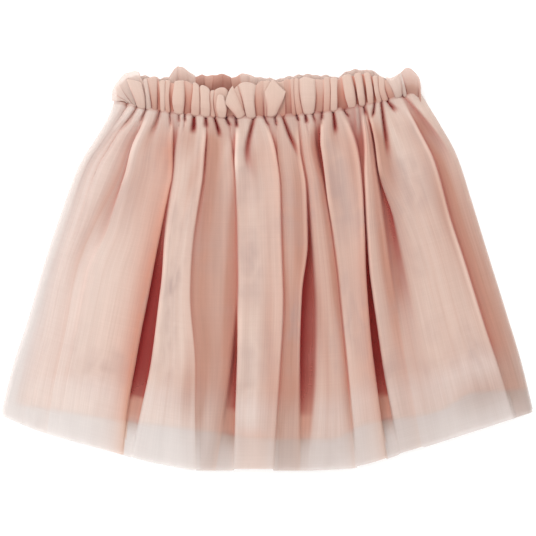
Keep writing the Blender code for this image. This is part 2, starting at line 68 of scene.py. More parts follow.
def curve(at, knots, values):  # smooth, and never past the values on each side
    knots = np.asarray(knots, float)
    values = np.asarray(values, float)
    steps = np.diff(values) / np.diff(knots)
    total = steps[:-1] + steps[1:]
    together = steps[:-1] * steps[1:] > 0
    inner = np.where(together, 2 * steps[:-1] * steps[1:] / (total + (total == 0)), 0.0)
    slopes = np.concatenate([steps[:1], inner, steps[-1:]])
    at = np.clip(np.asarray(at, float), knots[0], knots[-1])
    k = np.clip(np.searchsorted(knots, at, side="right") - 1, 0, len(knots) - 2)
    span = knots[k + 1] - knots[k]
    t = (at - knots[k]) / span
    rise = values[k + 1] - values[k]
    start = span * slopes[k]
    end = span * slopes[k + 1]
    return values[k] + t * (start + t * (3 * rise - 2 * start - end + t * (start + end - 2 * rise)))


def ease(t):
    t = np.clip(t, 0.0, 1.0)
    return t * t * (3 - 2 * t)


outline = {
    "down": (0, 0.04, 0.1, 0.2, 0.35, 0.5, 0.7, 0.85, 1),
    "left": (-123, -126.7, -135.2, -150.6, -164.8, -177.4, -192, -204.1, -213.4),
    "right": (122.5, 128.5, 138, 152, 164.6, 176.4, 192.4, 204, 213.4),
}
seam = {"lowX": -17.6, "lowY": 121.2, "rise": 0.00109, "backLift": 8}
netHem = {
    "x": (-213.6, -184.8, -127.2, -88.8, -50.4, 26.4, 64.8, 112.8, 151.2, 213.6),
    "y": (-117.5, -129.4, -145.8, -156.2, -161.8, -161.8, -160.2, -147, -135, -114.8),
}
liningHem = {
    "x": (-204, -172, -118, -62, 10, 50, 80, 115, 136, 150, 164, 204),
    "y": (-108, -112.5, -121, -127.5, -136, -136, -123, -118, -114, -106.5, -99, -96),
    "turnUp": 18,  # the double band along the lining's hem
    "backShorter": 2,
}


def edgesAt(down):
    return [curve(down, outline["down"], outline[side]) for side in ("left", "right")]


def seamY(x):
    return seam["lowY"] + seam["rise"] * (x - seam["lowX"]) ** 2


def backSeamY(x):
    return seamY(x) + seam["backLift"] * (1 - np.minimum(1, (x / outline["right"][0]) ** 2))


def netHemY(x):
    return curve(x, netHem["x"], netHem["y"])


def liningHemY(x):
    return curve(x, liningHem["x"], liningHem["y"])


def fanY(x, down, top=seamY, bottom=netHemY):
    left, right = edgesAt(down)
    across = (x - left) / (right - left)
    ends = zip(outline["left"], outline["right"])
    topX, *_, hemX = (start + across * (end - start) for start, end in ends)
    return top(topX) + down * (bottom(hemX) - top(topX))


def roundedThrough(steps):  # weights that turn corner points into a smooth line with more points
    last = len(steps) - 1
    rows = [cornerWeights(k, t, last) for k, step in enumerate(steps) for t in np.arange(step) / step]
    return np.array(rows + [cornerWeights(last, 1.0, last)])


def cornerWeights(k, t, last):
    basis = np.array(((-1, 3, -3, 1), (3, -6, 0, 4), (-3, 3, 3, 1), (1, 0, 0, 0))) / 6
    weights = np.zeros(last + 4)
    weights[k : k + 4] = basis @ (t**3, t**2, t, 1)
    weights[1:3] += np.multiply(weights[0], (2, -1))  # past an end, the point mirrored through it
    weights[-3:-1] += np.multiply(weights[-1], (-1, 2))
    return weights[1:-1]


lightReach = {"least": 0.15, "most": 60}  # how near and how far off cloth can shade a point


def skyShare(along, z):
    # how open each point of a section is to the light above it, 0 to 1
    dx = along[None, :] - along[:, None]
    dz = z[None, :] - z[:, None]
    slope = dz / np.sqrt(dx**2 + dz**2 + 1e-6)
    near = np.abs(dx) < lightReach["most"]
    sides = (dx > lightReach["least"], dx < -lightReach["least"])
    return sum(openBy(np.where(side & near, slope, 0).max(axis=1)) for side in sides) / 2


def openBy(slope):  # the light left by something that rises at this slope, as a sine
    return np.sqrt(1 - np.clip(slope, 0, 1) ** 2)


def openPast(height, distance):
    return openBy(height / np.sqrt(height**2 + distance**2)) * 0.5 + 0.5


def clothMesh(name, grid, features, material, lengths):
    # a grid of points in mm becomes one smooth sheet, with its own lengths as its UV map
    rows, columns = grid.shape[:2]
    index = np.arange(rows * columns).reshape(rows, columns)
    corners = [index[:-1, :-1], index[1:, :-1], index[1:, 1:], index[:-1, 1:]]
    faces = np.stack(corners, axis=-1).reshape(-1, 4)
    mesh = bpy.data.meshes.new(name)
    mesh.from_pydata((grid * mm).reshape(-1, 3), [], faces)
    uvMap = mesh.uv_layers.new(name="clothLengths")
    flat = (lengths.reshape(-1, 2) * mm)[faces.ravel()]
    uvMap.data.foreach_set("uv", flat.astype(np.float32).ravel())
    for feature, values in features.items():  # one for each point or column, or for the whole sheet
        attribute = mesh.attributes.new(feature, "FLOAT", "POINT")
        values = np.broadcast_to(values, (rows, columns)).astype(np.float32)
        attribute.data.foreach_set("value", values.ravel())
    mesh.shade_smooth()
    mesh.materials.append(material)
    mesh.validate()
    piece = bpy.data.objects.new(name, mesh)
    bpy.context.scene.collection.objects.link(piece)
    print("made", name, len(faces) * 2, "triangles")
    return piece


def clothLengths(grid, acrossRow):
    # length across, taken on one row so that threads run down the cloth, and length down it
    across = np.linalg.norm(np.diff(grid[acrossRow], axis=0), axis=1)
    across = np.concatenate([[0], np.cumsum(across)])
    down = np.linalg.norm(np.diff(grid, axis=0), axis=2).mean(axis=1)
    down = np.concatenate([[0], np.cumsum(down)])
    u, v = np.meshgrid(across, down)
    return np.stack([u, v], axis=-1)


# the front of the net: broad rises with folds between them

netShape = {
    "floorZ": 5.15,  # how low the cloth lies inside a fold
    "waistZ": 8.2,
    "length": 285,  # about how far the net hangs from the gathering line
    "layerGap": 1.0,  # between the two thin layers that hang together
    "cutShare": 0.88,  # the flat panel's area, as a share of its width times its length
    "pointGap": 1.5,  # how far apart the sheet's points are across, at most
    "frillTop": 11.0,  # about how high the frill stands beside the gathering line
    "frillAway": 2.5,
    "openSide": 7.0,  # light comes in from the sides this far
    "lipDrop": (0.8, 0.16),  # how far a rise has dropped at a fold's edge, and more where it is rounder
    "cornerRun": 2.0,
    # painted shade added under a crisp fold edge
    "crispDark": 0.1,
    "roomShare": 0.3,
    "tuckDown": (0.15, 0.5),  # between these a tuck goes from its upper to its lower size
    "tuckForms": 0.11,
    "foldStarts": 0.008,
    "foldForms": 0.055,
    "deepRoom": 4.0,
    "domed": 2.6,
    "turnUpFrom": 0.8,
    "rippleStarts": 0.15,
    "rippleHeight": 6.0,  # a rise this much above a fold's floor has the whole of the ripples
    "sideX": (0.65, 0.95, 3.0),  # the side edge's points: from the outline in, and their heights
    "sideZ": (2.15, 4.4, 6.6),
}
# how the net meets the gathering line, where it puffs up between the creases
seamShape = {
    "puff": (2.4, 0.6, 0.045),  # its height, the arch that stays level, and how far down it reaches
    # how far down the groove reaches, how much of it the puffs fill, its depth at most and as a share of
    # the height, and what it leaves below
    "groove": (0.006, 0.5, 3.0, 0.6, 2.2),
    # how dark the groove between the puffs is painted, as shade
    "grooveDark": 1.4,
    "line": (0.25, 0.009),  # the painted shade line along it, under the frill, and how far down that reaches
    "scallop": (1.8, 1.4, 0.02),  # how far each puff hangs down
    "under": (1.6, 0.005),  # how far the cloth runs up under the frill
}
# how the creases spread, start and end, and how dark their painted shade is
creaseShape = {
    "spread": (1.2, 1.4),
    "sharp": 2.6,
    "starts": (0.5, 3.0),
    "ends": (0.45, 0.55),
    "dark": 0.88,
    "arch": (2.4, 0.6),
}
# where the cloth is painted tan, rosy or dark, mostly as shade beside and inside its folds
netShades = {
    "rimEnds": (0.55, 0.85),
    "darkEnds": (0.86, 0.95),
    "overTan": 0.3,  # how red the tan turns where shades add up
    "deepTan": 0.6,  # how tan the cloth is painted beside a dark crease, as shade
    "edgesForm": 0.12,
    "closedRosy": 0.25,  # what a closed fold keeps of its rosy edge
    "warmHem": (47.2, 3.6, 0.35, 0.86),  # on the middle rise: across, reach, how rosy, and its top
    "toneDown": 0.8,  # how far down a rise has the whole of its lower tone
    "shadeForms": 0.1,
    "shadeFades": 0.2,
    "shadeSoft": 1.5,
}
rowBands = ((0, 0.012, 10), (0.012, 0.06, 21), (0.06, 0.22, 29), (0.22, 1, 73))  # from, to, how many rows
panelDown = (0.1, 0.35, 0.7, 1)
# for each rise: points across it, the heights of its crown at four levels, how far its hem is turned up,
# and how tan it is painted near the waist and near the hem: partly the cloth's own tone, partly painted
# shade on rises lying lower or away from the light
panels = (
    (8, (7, 7.6, 7.2, 6.8), 0, (0.05, 0)),
    (5, (8.9, 9.3, 8.2, 7.6), 0, (0.1, 0)),
    (12, (11, 12.2, 11.4, 10.1), 0, (0.15, 0)),
    (8, (12, 13.8, 13.4, 11.8), 0.5, (0.05, 0.05)),
    (8, (11.4, 12.9, 12.6, 10.6), 0, (0.45, 0.55)),
    (11, (13.1, 16.4, 16.8, 14.3), 1.5, (0.18, 0.12)),
    (7, (11.4, 13.8, 14, 11.6), 0, (0.4, 0.6)),
    (7, (11.6, 14, 14.2, 12), 0, (0.22, 0.2)),
    (9, (13.1, 16, 16.4, 13.9), 1.2, (0.3, 0.28)),
    (5, (11.6, 13.8, 14, 12), 1, (0.35, 0.4)),
    (18, (12, 13.5, 13.1, 11.4), 0, (0.18, 0.22)),
    (9, (8.2, 9.2, 8.8, 7.8), 0, (0.45, 0.75)),
)
foldDown = (0, 0.1, 0.2, 0.35, 0.5, 0.7, 1)
# for each fold: its left and right line across the skirt, how far it has formed and how dark its painted
# shade is inside at each level, each side's share of that, the height of each edge as a share of its rise,
# how wide each rounds over and how far it is tucked under (high up, low down), the rosy edge on its left
# (amount, reach), which is partly painted shade, and the painted shade that it casts: its amount, its reach
# to the right of the left line, or to the left of the right line if below 0, and how far down it starts to
# fade
foldParts = ("left", "right", "open", "dark", "darkSides", "edges", "runs", "tucks", "rosy", "shade")
foldRows = {
    "sideUpper": (
        (7, 3.8, 3, 3.2, 3.2, 3.6, 4), (8, 5, 4.8, 4.8, 4.2, 4.6, 5),
        (0.4, 0.8, 0.6, 0.25, 0, 0, 0), (0.4, 0.25, 0.1, 0.05, 0, 0, 0), (0.3, 1),
        (0.85, 0.85), ((5, 5), (2, 5)), ((0, 0), (2, 0)), (0.2, 4), (0.1, -6, 0.8),
    ),
    "sideLong": (
        (10.4, 9.5, 10.5, 8.4, 7, 7.6, 8.4), (11.2, 10.4, 12, 11.7, 10, 10.2, 11),
        (0.5, 1, 0.8, 0.4, 0.2, 0.1, 0), (0.5, 0.6, 0.4, 0.15, 0.05, 0, 0), (0.3, 1),
        (0.8, 0.92), ((5, 6), (1.4, 4)), ((0, 0), (3, 0)), (0.5, 7), (0.25, -9, 0.8),
    ),
    "leftGap": (
        (18.5, 21.8, 24.3, 24.1, 23.8, 23, 22.8), (21.3, 22.9, 24.9, 25.3, 26.1, 26, 24.7),
        (0.5, 0.8, 0.5, 0.75, 1, 1, 0.35), (0.4, 0.6, 0.4, 0.9, 1, 1, 0.9), (1, 0.9),
        (0.86, 0.9), ((1.4, 1.6), (2.2, 1.2)), ((1.5, 2.5), (0, 2)), (1.5, 9), (0.3, 8, 0.8),
    ),
    "leftValley": (
        (30, 31.1, 32.3, 32.1, 32.7, 35, 36.6), (30.9, 32, 33.4, 33.6, 34.2, 36.2, 37.6),
        (0.4, 0.6, 0.35, 0.2, 0.15, 0.06, 0), (0.4, 0.6, 0.45, 0.3, 0.25, 0.12, 0), (1, 0.2),
        (0.95, 0.9), ((1.2, 2.6), (3, 5)), ((1, 0.5), (0, 0)), (0.5, 5), (1, 12, 0.8),
    ),
    "centreLeft": (
        (36.6, 39.3, 41.4, 42.5, 43.2, 42.4, 40.1), (39.9, 40.2, 41.7, 43, 43.7, 43.7, 43.9),
        (0.4, 0.6, 0.25, 0.15, 0.18, 0.9, 0.35), (0.5, 0.4, 0.25, 0.25, 0.35, 1, 1), (0.6, 1),
        (0.9, 0.96), ((2.4, 2.4), (1, 1.2)), ((0, 0), (1.5, 3)), (0.5, 5), (0.7, -6, 0.8),
    ),
    "centreRight": (
        (49.1, 51.9, 53.1, 53.4, 53.7, 52.6, 51.1), (52.7, 52.7, 53.7, 54.1, 54.3, 53.4, 52),
        (0.4, 0.5, 0.25, 0.2, 0.15, 0.15, 0.05), (0.4, 0.45, 0.25, 0.2, 0.2, 0.2, 0.1), (1, 0.5),
        (0.95, 0.92), ((1, 1.2), (2, 2.4)), ((1, 1.5), (0, 0)), (0.9, 7), (0.6, 5, 0.8),
    ),
    "rightCentreGap": (
        (59.6, 59.1, 59.9, 59.8, 58, 56.7, 56), (60.5, 60.2, 60.9, 61.1, 61.4, 60.4, 57.9),
        (0.3, 0.4, 0.5, 0.95, 1, 0.85, 0), (0.3, 0.4, 0.5, 0.9, 1, 1, 0.8), (1, 0.75),
        (0.92, 0.88), ((1, 1.2), (2, 3.6)), ((0, 1.5), (0.5, 0.5)), (0.7, 5), (0.35, 14, 0.8),
    ),
    "rightInner": (
        (64.8, 63.8, 64.8, 65.8, 66.3, 66.2, 66.4), (68, 65.3, 65.3, 66.3, 66.7, 66.7, 66.9),
        (0.5, 1, 0.6, 0.2, 0.15, 0.15, 0.1), (0.6, 1, 0.8, 0.5, 0.45, 0.4, 0.1), (0.6, 1),
        (0.86, 0.96), ((2.4, 2.4), (1, 1.2)), ((0, 0), (3, 1.5)), (0.8, 5), (1, -7, 0.8),
    ),
    "rightGap": (
        (74.6, 75.4, 74.6, 73.7, 72.7, 72, 72.3), (80.6, 78.2, 75.7, 74.4, 73.7, 73.7, 75),
        (0.5, 0.7, 0.5, 0.7, 1, 1, 0.4), (0.5, 0.7, 0.6, 0.8, 0.9, 0.9, 0.8), (1, 1),
        (0.92, 0.9), ((1.2, 1.6), (1.2, 1.4)), ((1, 2.5), (0, 1.5)), (1, 7), (0.2, 6, 0.8),
    ),
    "rightValley": (
        (81.7, 80.2, 78.8, 78.5, 78.2, 78, 78.7), (82.6, 80.9, 79.4, 81.2, 81.8, 82.2, 83.3),
        (0.4, 0.9, 0.9, 0.7, 0.4, 0.1, 0), (0.5, 1, 1, 1, 0.65, 0.2, 0), (0.6, 1),
        (0.86, 0.92), ((2, 6), (1.2, 9)), ((0, 0), (3.5, 0)), (0.7, 5), (1, 10, 0.45),
    ),
    "sideOverlap": (
        (93.8, 93.7, 93.9, 93.9, 94.5, 95, 96.2), (94.4, 94.3, 94.5, 94.5, 95.1, 95.6, 96.8),
        (0.3, 0.5, 0.4, 0.4, 0.4, 0.4, 0.1), (0.1, 0.15, 0.15, 0.15, 0.12, 0.1, 0.1), (1, 0.2),
        (0.88, 0.9), ((1, 1.2), (5, 5)), ((1, 1.5), (0, 0)), (0.15, 4), (0.8, 9, 0.8),
    ),
}
folds = [dict(zip(foldParts, row)) for row in foldRows.values()]
# creases that start at the gathering line: across at the top and at the end and how far they bend between,
# how far down they run, their half width on each side, how deep they are (below 0 for a ridge) and how dark
# their painted shade is
creases = (
    (4.5, 2, 0, 0.1, 2.2, 0.9, 1, 0.1), (7.6, 4.8, 0, 0.09, 0.7, 1.2, 1.6, 0.35),
    (10.6, 9.8, 0, 0.05, 0.7, 0.6, 2, 0.6), (15.2, 14.4, 0, 0.09, 1.3, 0.9, 2.4, 0.5),
    (18.4, 19.6, 0, 0.05, 0.6, 0.5, 1.6, 0.25), (21.4, 22, 0, 0.03, 0.7, 0.5, 1.6, 0.5),
    (23.3, 23.5, 0, 0.025, 0.6, 0.7, 2.2, 0.8), (26.3, 26.6, 0, 0.06, 0.9, 1.1, 4.6, 1.6),
    (30.2, 30.7, 0, 0.04, 1.1, 0.8, 3.2, 0.9), (32.8, 35.2, 0, 0.065, 0.6, 1.1, 4, 1.4),
    (36.6, 38.2, 0, 0.03, 0.7, 0.9, 2.4, 1.1), (40, 40.3, 0, 0.035, 0.8, 0.7, 2.6, 1.2),
    (45.8, 45.3, -2, 0.17, 0.9, 1.5, 4.4, 0.9), (49.2, 50.6, 0, 0.03, 0.7, 0.6, 1.8, 0.7),
    (52.6, 52.9, 0, 0.03, 0.6, 0.7, 1.8, 0.7), (55, 59.2, -0.5, 0.13, 0.5, 1.5, 4, 1),
    (59.8, 60.2, 0, 0.02, 0.7, 0.6, 2.4, 1), (62.5, 62.4, 0, 0.03, 0.7, 0.9, 2.8, 1.2),
    (64.9, 65.2, 0, 0.03, 0.6, 0.7, 1.6, 0.5), (68, 67.2, 0, 0.025, 0.6, 0.8, 1.8, 0.8),
    (71.6, 70.2, 0, 0.075, 0.7, 1, 4.4, 1.5), (75, 76, 0, 0.03, 0.6, 0.6, 1.8, 0.7),
    (79.4, 76.3, 0, 0.1, 0.8, 0.8, -2.2, -0.3), (81.6, 81, 0, 0.035, 0.6, 0.7, 2, 0.9),
    (85.3, 82.4, 0, 0.045, 0.6, 0.7, 3, 1.3), (87.2, 82.6, -0.6, 0.18, 0.5, 1.4, 4.6, 1),
    (88.9, 90.2, 0, 0.045, 0.6, 1.4, 2.6, 1), (94.7, 98.2, 0.9, 0.25, 2.4, 1, 2, 0.4),
)
# soft patches of shade: across and down, how far they reach each way and how tan they are
patches = (
    (17, 0.2, 4, 0.16, 0.5), (14.2, 0.08, 1.5, 0.05, 0.4), (10, 0.3, 2, 0.1, 0.4),
    (10, 0.12, 1.5, 0.05, -0.25), (7.5, 0.42, 2.5, 0.12, 0.25), (26.5, 0.07, 1.8, 0.06, 0.45),
    (30, 0.17, 1.4, 0.08, 0.45), (34, 0.26, 1.6, 0.14, 0.4), (38, 0.09, 1.5, 0.04, -0.45),
    (46, 0.13, 1.8, 0.06, 0.4), (50.5, 0.66, 2, 0.24, 0.5), (58, 0.24, 1.6, 0.16, 0.45),
    (62.2, 0.62, 1.2, 0.2, 0.45), (66, 0.2, 1.8, 0.12, 0.45), (70, 0.07, 1.6, 0.04, 0.4),
    (73.2, 0.18, 1.6, 0.08, 0.3), (82.5, 0.17, 1.8, 0.1, 0.5), (92, 0.9, 6, 0.06, 0.45),
    (98, 0.12, 2.2, 0.12, -0.45), (34, 0.75, 1.6, 0.12, 0.4), (42, 0.5, 1.4, 0.3, 0.75),
    (77.5, 0.5, 1.3, 0.24, 0.65), (54.5, 0.6, 1.2, 0.15, 0.3), (92, 0.35, 3, 0.25, 0.35),
    (96, 0.02, 5, 0.05, -0.5), (38, 0.84, 1.8, 0.1, -0.4), (24, 0.06, 1.8, 0.05, 0.4),
    (46.5, 0.7, 1.6, 0.14, -0.2), (66, 0.5, 1.2, 0.1, 0.4), (86.5, 0.14, 1.6, 0.08, -0.45),
    (94, 0.3, 1.5, 0.1, 0.35), (10, 0.45, 1.8, 0.08, -0.3), (53, 0.93, 14, 0.1, 0.22),
    (40, 0.13, 2.6, 0.09, -0.45), (34, 0.8, 5, 0.07, 0.3), (54, 0.78, 3, 0.07, 0.25),
    (66, 0.4, 1.6, 0.14, 0.2), (58, 0.4, 1.4, 0.08, 0.25), (1.5, 0.45, 2.5, 0.3, -0.35),
    (9, 0.65, 3, 0.2, -0.25),
)
# long shallow waves that run down each rise: how many across the skirt, height, lean and start
ripples = ((11, 0.3, 2.1, 0.3), (19, 0.18, -2.8, 1.9), (31, 0.1, 3.6, 4.1))


def crownAt(panel, down):
    formed = ease(down / panelDown[0])
    settled = curve(max(down, panelDown[0]), panelDown, panel[1])
    return netShape["waistZ"] + formed * (settled - netShape["waistZ"])


def toneAt(panel, down):
    upper, lower = panel[3]
    return upper + ease(down / netShades["toneDown"]) * (lower - upper)


def sideOfFold(edgeX, edgeZ, run, tuck, floorReach, out, dark):
    # from a rise's edge to the floor of the fold; out is +1 where the fold is to the right
    floorZ = netShape["floorZ"]
    start, more = netShape["lipDrop"]
    lipZ = edgeZ - start - more * run
    depth = lipZ - floorZ
    # the fold's painted shade is darkest in the corner under a crisp edge
    corner = dark + (netShape["crispDark"] if run < 2 else 0.0)
    beyond = edgeX + out * 0.5 * floorReach
    cornerX = beyond + ease(tuck / 2.0) * (edgeX - out * tuck - beyond)
    startX = cornerX + out * min(netShape["cornerRun"], 0.5 * floorReach)
    rim = ease(2 - run)  # only a crisp edge catches the light
    return [
        (edgeX - out * run, edgeZ, 0.0, rim),
        (edgeX, lipZ, 0.1 * dark, 0.8 * rim),
        (0.5 * (edgeX + cornerX), floorZ + 0.52 * depth, 0.6 * corner, 0.0),
        (cornerX, floorZ + min(1.7, 0.3 * depth), corner, 0.0),
        (startX, floorZ, dark, 0.0),
    ]


def foldLines(down):
    left, right = edgesAt(down)
    lines = [(curve(down, foldDown, f["left"]), curve(down, foldDown, f["right"])) for f in folds]
    return left + (right - left) / 100 * np.array(lines)


def foldSection(fold, down, lines, rooms, crowns):
    shape = netShape
    upper, lower = shape["tuckDown"]
    share = ease((down - upper) / (lower - upper))
    forms = ease(down / shape["tuckForms"])
    tucks = [(high + share * (low - high)) * forms for high, low in fold["tucks"]]
    room = lines[1] - lines[0] + sum(tucks)
    formed = curve(down, foldDown, fold["open"]) * ease((down - shape["foldStarts"]) / shape["foldForms"])
    formed = formed * ease(room / shape["deepRoom"])
    tucks = [tuck * formed for tuck in tucks]
    reach = 0.36 * (lines[1] - lines[0] + sum(tucks))
    dark = curve(down, foldDown, fold["dark"])
    sides = []
    for k, out in ((0, 1), (1, -1)):
        high, low = fold["runs"][k]
        run = min(high + share * (low - high), shape["roomShare"] * rooms[k])
        edgeZ = fold["edges"][k] * crowns[k]
        shade = dark * fold["darkSides"][k]
        sides.append(sideOfFold(lines[k], edgeZ, run, tucks[k], reach, out, shade))
    section = np.array(sides[0] + sides[1][::-1])
    flat = np.linspace(crowns[0], crowns[1], len(section))
    section[:, 1] = flat + formed * (section[:, 1] - flat)
    section[:, 2] *= 0.5 + 0.5 * formed
    section[:, 3] *= ease(2 * formed)
    return section


def panelSection(panel, crown, start, end):
    t = np.arange(1, panel[0] + 1) / (panel[0] + 1)
    ends = start[1] + t * (end[1] - start[1])
    dome = 1 - np.abs(2 * t - 1) ** netShape["domed"]
    z = ends + dome * (crown - 0.5 * (start[1] + end[1]))
    return np.stack([start[0] + t * (end[0] - start[0]), z, 0 * t, 0 * t], axis=1)


def netCorners(down):
    # the corner points of one section: x, z, how dark its painted shade is, how bright its painted rim
    # highlight is, the hem's turn-up and how tan it is painted
    left, right = edgesAt(down)
    crowns = [crownAt(panel, down) for panel in panels]
    tones = [toneAt(panel, down) for panel in panels]
    lines = foldLines(down)
    rooms = np.diff(np.concatenate([[left], lines.ravel(), [right]]))[::2]
    sideX = np.array(netShape["sideX"])
    side = np.stack([sideX, netShape["sideZ"], 0 * sideX, 0 * sideX], axis=1)
    parts = [side + (left, 0, 0, 0)]
    for k, fold in enumerate(folds):
        parts.append(foldSection(fold, down, lines[k], rooms[k : k + 2], crowns[k : k + 2]))
    parts.append((side * (-1, 1, 1, 1) + (right, 0, 0, 0))[::-1])
    rows = []
    for k, part in enumerate(parts):
        before, after = max(k - 1, 0), min(k, len(panels) - 1)
        short = np.zeros(len(part))
        short[:3], short[-3:] = panels[before][2], panels[after][2]
        rows.append(np.column_stack([part, short, np.linspace(tones[before], tones[after], len(part))]))
        if k < len(panels):
            rise = panelSection(panels[k], crowns[k], part[-1], parts[k + 1][0])
            same = np.ones(len(rise))
            rows.append(np.column_stack([rise, panels[k][2] * same, tones[k] * same]))
    return np.concatenate(rows)


def netRows():
    bands = [np.linspace(start, end, count, endpoint=False) for start, end, count in rowBands]
    return np.concatenate(bands + [[1.0]])


def gatherShape(x, down):
    # how far the creases sink at these x and how dark they are, and how round the cloth is between them
    shape = creaseShape
    left, right = edgesAt(down)
    width = (right - left) / 100
    sink = np.zeros(len(x))
    dark = np.zeros(len(x))
    places = []
    for start, end, bend, length, before, after, depth, darkness in creases:
        reach = min(down / length, 1.0)
        place = left + width * (start + reach * (end - start) + bend * math.sin(math.pi * reach))
        beside = x - place
        half = np.where(beside < 0, before, after) * (shape["spread"][0] + shape["spread"][1] * reach)
        near = np.exp(-np.abs(beside / half) ** shape["sharp"])
        growing = ease(shape["starts"][0] + shape["starts"][1] * reach)
        strength = growing * (1 - ease((reach - shape["ends"][0]) / shape["ends"][1]))
        sink += depth * near * strength
        dark += shape["dark"] * darkness * near * strength
        if depth > 0:
            places.append(place)
    places = np.sort(np.concatenate([[left], places, [right]]))
    k = np.clip(np.searchsorted(places, x) - 1, 0, len(places) - 2)
    u = np.clip((x - places[k]) / (places[k + 1] - places[k]), 0, 1)
    square, full = shape["arch"]
    return sink, dark, (1 - np.abs(2 * u - 1) ** square) ** full


def acrossAt(x, down):  # 0 at the skirt's left edge to 100 at its right
    left, right = edgesAt(down)
    return 100 * (x - left) / (right - left)


# a rosy band beside each fold's edge, partly the layers seen on edge and partly painted shade, and a rosy
# hem on the middle rise
def rosyEdges(x, down):
    lines = foldLines(down)
    formed = ease(down / netShades["edgesForm"])
    middle, wide, amount, start = netShades["warmHem"]
    rosy = amount * np.exp(-(((acrossAt(x, down) - middle) / wide) ** 4)) * ease((down - start) / 0.06)
    closed = netShades["closedRosy"]
    for fold, (line, _) in zip(folds, lines):
        amount, reach = fold["rosy"]
        beside = line - x
        amount = amount * formed * (closed + (1 - closed) * curve(down, foldDown, fold["open"]))
        rosy = np.maximum(rosy, np.where(beside > -1, amount * np.exp(-np.abs(beside) / reach), 0))
    return rosy


def shadeBeside(x, down):
    shade = np.zeros(len(x))
    for fold, (before, after) in zip(folds, foldLines(down)):
        amount, reach, fades = fold["shade"]
        beside = x - before if reach > 0 else after - x
        near = np.exp(-np.abs(beside) / abs(reach)) * ease(beside / netShades["shadeSoft"] + 0.5)
        kept = ease(down / netShades["shadeForms"]) * (1 - ease((down - fades) / netShades["shadeFades"]))
        shade = np.maximum(shade, amount * near * kept)
    at = acrossAt(x, down)
    for across, middle, wide, tall, amount in patches:
        shade = shade + amount * np.exp(-(((at - across) / wide) ** 2) - ((down - middle) / tall) ** 2)
    return shade


def raisedSection(x, z, down, arch, sink):
    # a section's heights with ripples, puffs, creases and the groove along the gathering line
    across = acrossAt(x, down) / 100
    floorZ = netShape["floorZ"]
    raised = np.clip((z - floorZ) / netShape["rippleHeight"], 0, 1) * ease(down / netShape["rippleStarts"])
    for count, height, lean, start in ripples:
        turn = 2 * math.pi * count * across + lean * down + start
        z = z + height * np.sin(turn + 0.8 * np.sin(3 * down + count)) * raised
    puff, level, reach = seamShape["puff"]
    z = z + puff * (arch - level) * math.exp(-((down / reach) ** 2)) - sink
    z[4:-4] = np.maximum(z[4:-4], floorZ - 0.1)
    reach, between, most, share, left = seamShape["groove"]
    groove = (1 - ease(down / reach)) * (1 - between * arch)
    return z - groove * np.minimum(most, share * (z - left)), groove


def loweredSection(x, down, arch, short):
    # where a section lies down the skirt, with its turned-up hem and its puffs below the gathering line
    start = netShape["turnUpFrom"]
    y = fanY(x, down) + short * ease((down - start) / (1 - start))
    hang, level, reach = seamShape["scallop"]
    up, under = seamShape["under"]
    y = y + (hang * arch - level) * (1 - ease((down - under) / reach)) * ease(down / under)
    return y + up * (1 - ease(down / under))


def lightOn(x, z, down):
    left, right = edgesAt(down)
    frillAbove = np.maximum(0, netShape["frillTop"] - z)
    past = openPast(frillAbove, netShape["frillAway"] + netShape["length"] * down)
    sky = skyShare(x, z) * past
    beyond = np.minimum(x - left, right - x)
    return sky + (1 - sky) * (1 - ease(beyond / netShape["openSide"]))


def fadingOut(down, ends):
    start, end = ends
    return 1 - ease((down - start) / (end - start))


def netSurface():
    downs = netRows()
    corners = np.array([netCorners(down) for down in downs])
    gaps = np.linalg.norm(np.diff(corners[:, :, :2], axis=1), axis=2).max(axis=0)
    steps = np.clip(np.ceil(gaps / netShape["pointGap"]), 2, 6).astype(int)
    weights = roundedThrough(steps)
    grid = []
    features = {"sky": [], "deep": [], "tone": [], "rosy": [], "rim": []}
    for down, corner in zip(downs, corners):
        x, z, deep, rim, short, tone = (weights @ corner).T
        sink, dark, arch = gatherShape(x, down)
        z, groove = raisedSection(x, z, down, arch, sink)
        y = loweredSection(x, down, arch, short)
        grid.append(np.stack([x, y, z], axis=1))
        # the painted shade: dark inside folds and creases, in the groove between the puffs and along a line
        # under the frill; the cloth beside it is painted tan as well
        amount, reach = seamShape["line"]
        seamLine = amount * (1 - ease(down / reach))
        shaded = tone + shadeBeside(x, down)
        over = netShades["overTan"] * np.clip(shaded - 1, 0, 1)
        deep = deep * fadingOut(down, netShades["darkEnds"])
        deep = np.clip(deep + dark + over + seamShape["grooveDark"] * groove * (1 - arch) + seamLine, 0, 1)
        features["sky"].append(lightOn(x, z, down))
        features["deep"].append(deep)
        features["rim"].append(rim * fadingOut(down, netShades["rimEnds"]))
        features["tone"].append(np.clip(shaded + netShades["deepTan"] * deep, 0, 1))
        features["rosy"].append(rosyEdges(x, down))
    print("net:", len(downs), "rows of", len(weights), "points")
    return np.array(grid), {name: np.array(rows) for name, rows in features.items()}


def sectionNormals(grid):
    across = np.gradient(grid, axis=1)
    normal = np.cross((0.0, -1.0, 0.0), across)
    return normal / np.linalg.norm(normal, axis=2, keepdims=True)


liningShows = {
    "hemSoft": 5.0,
    "side": (2.0, 9.0, 22.0),  # its left edge: how far in at the waist and more at the hem, and how soft
    "leftBand": (0.9, 80.0),  # along the left edge the net looks as pale as over the band
    "bandEdges": (3.0, 24.0),  # how softly the doubled band starts, under the full painted fold shade and in the open
}


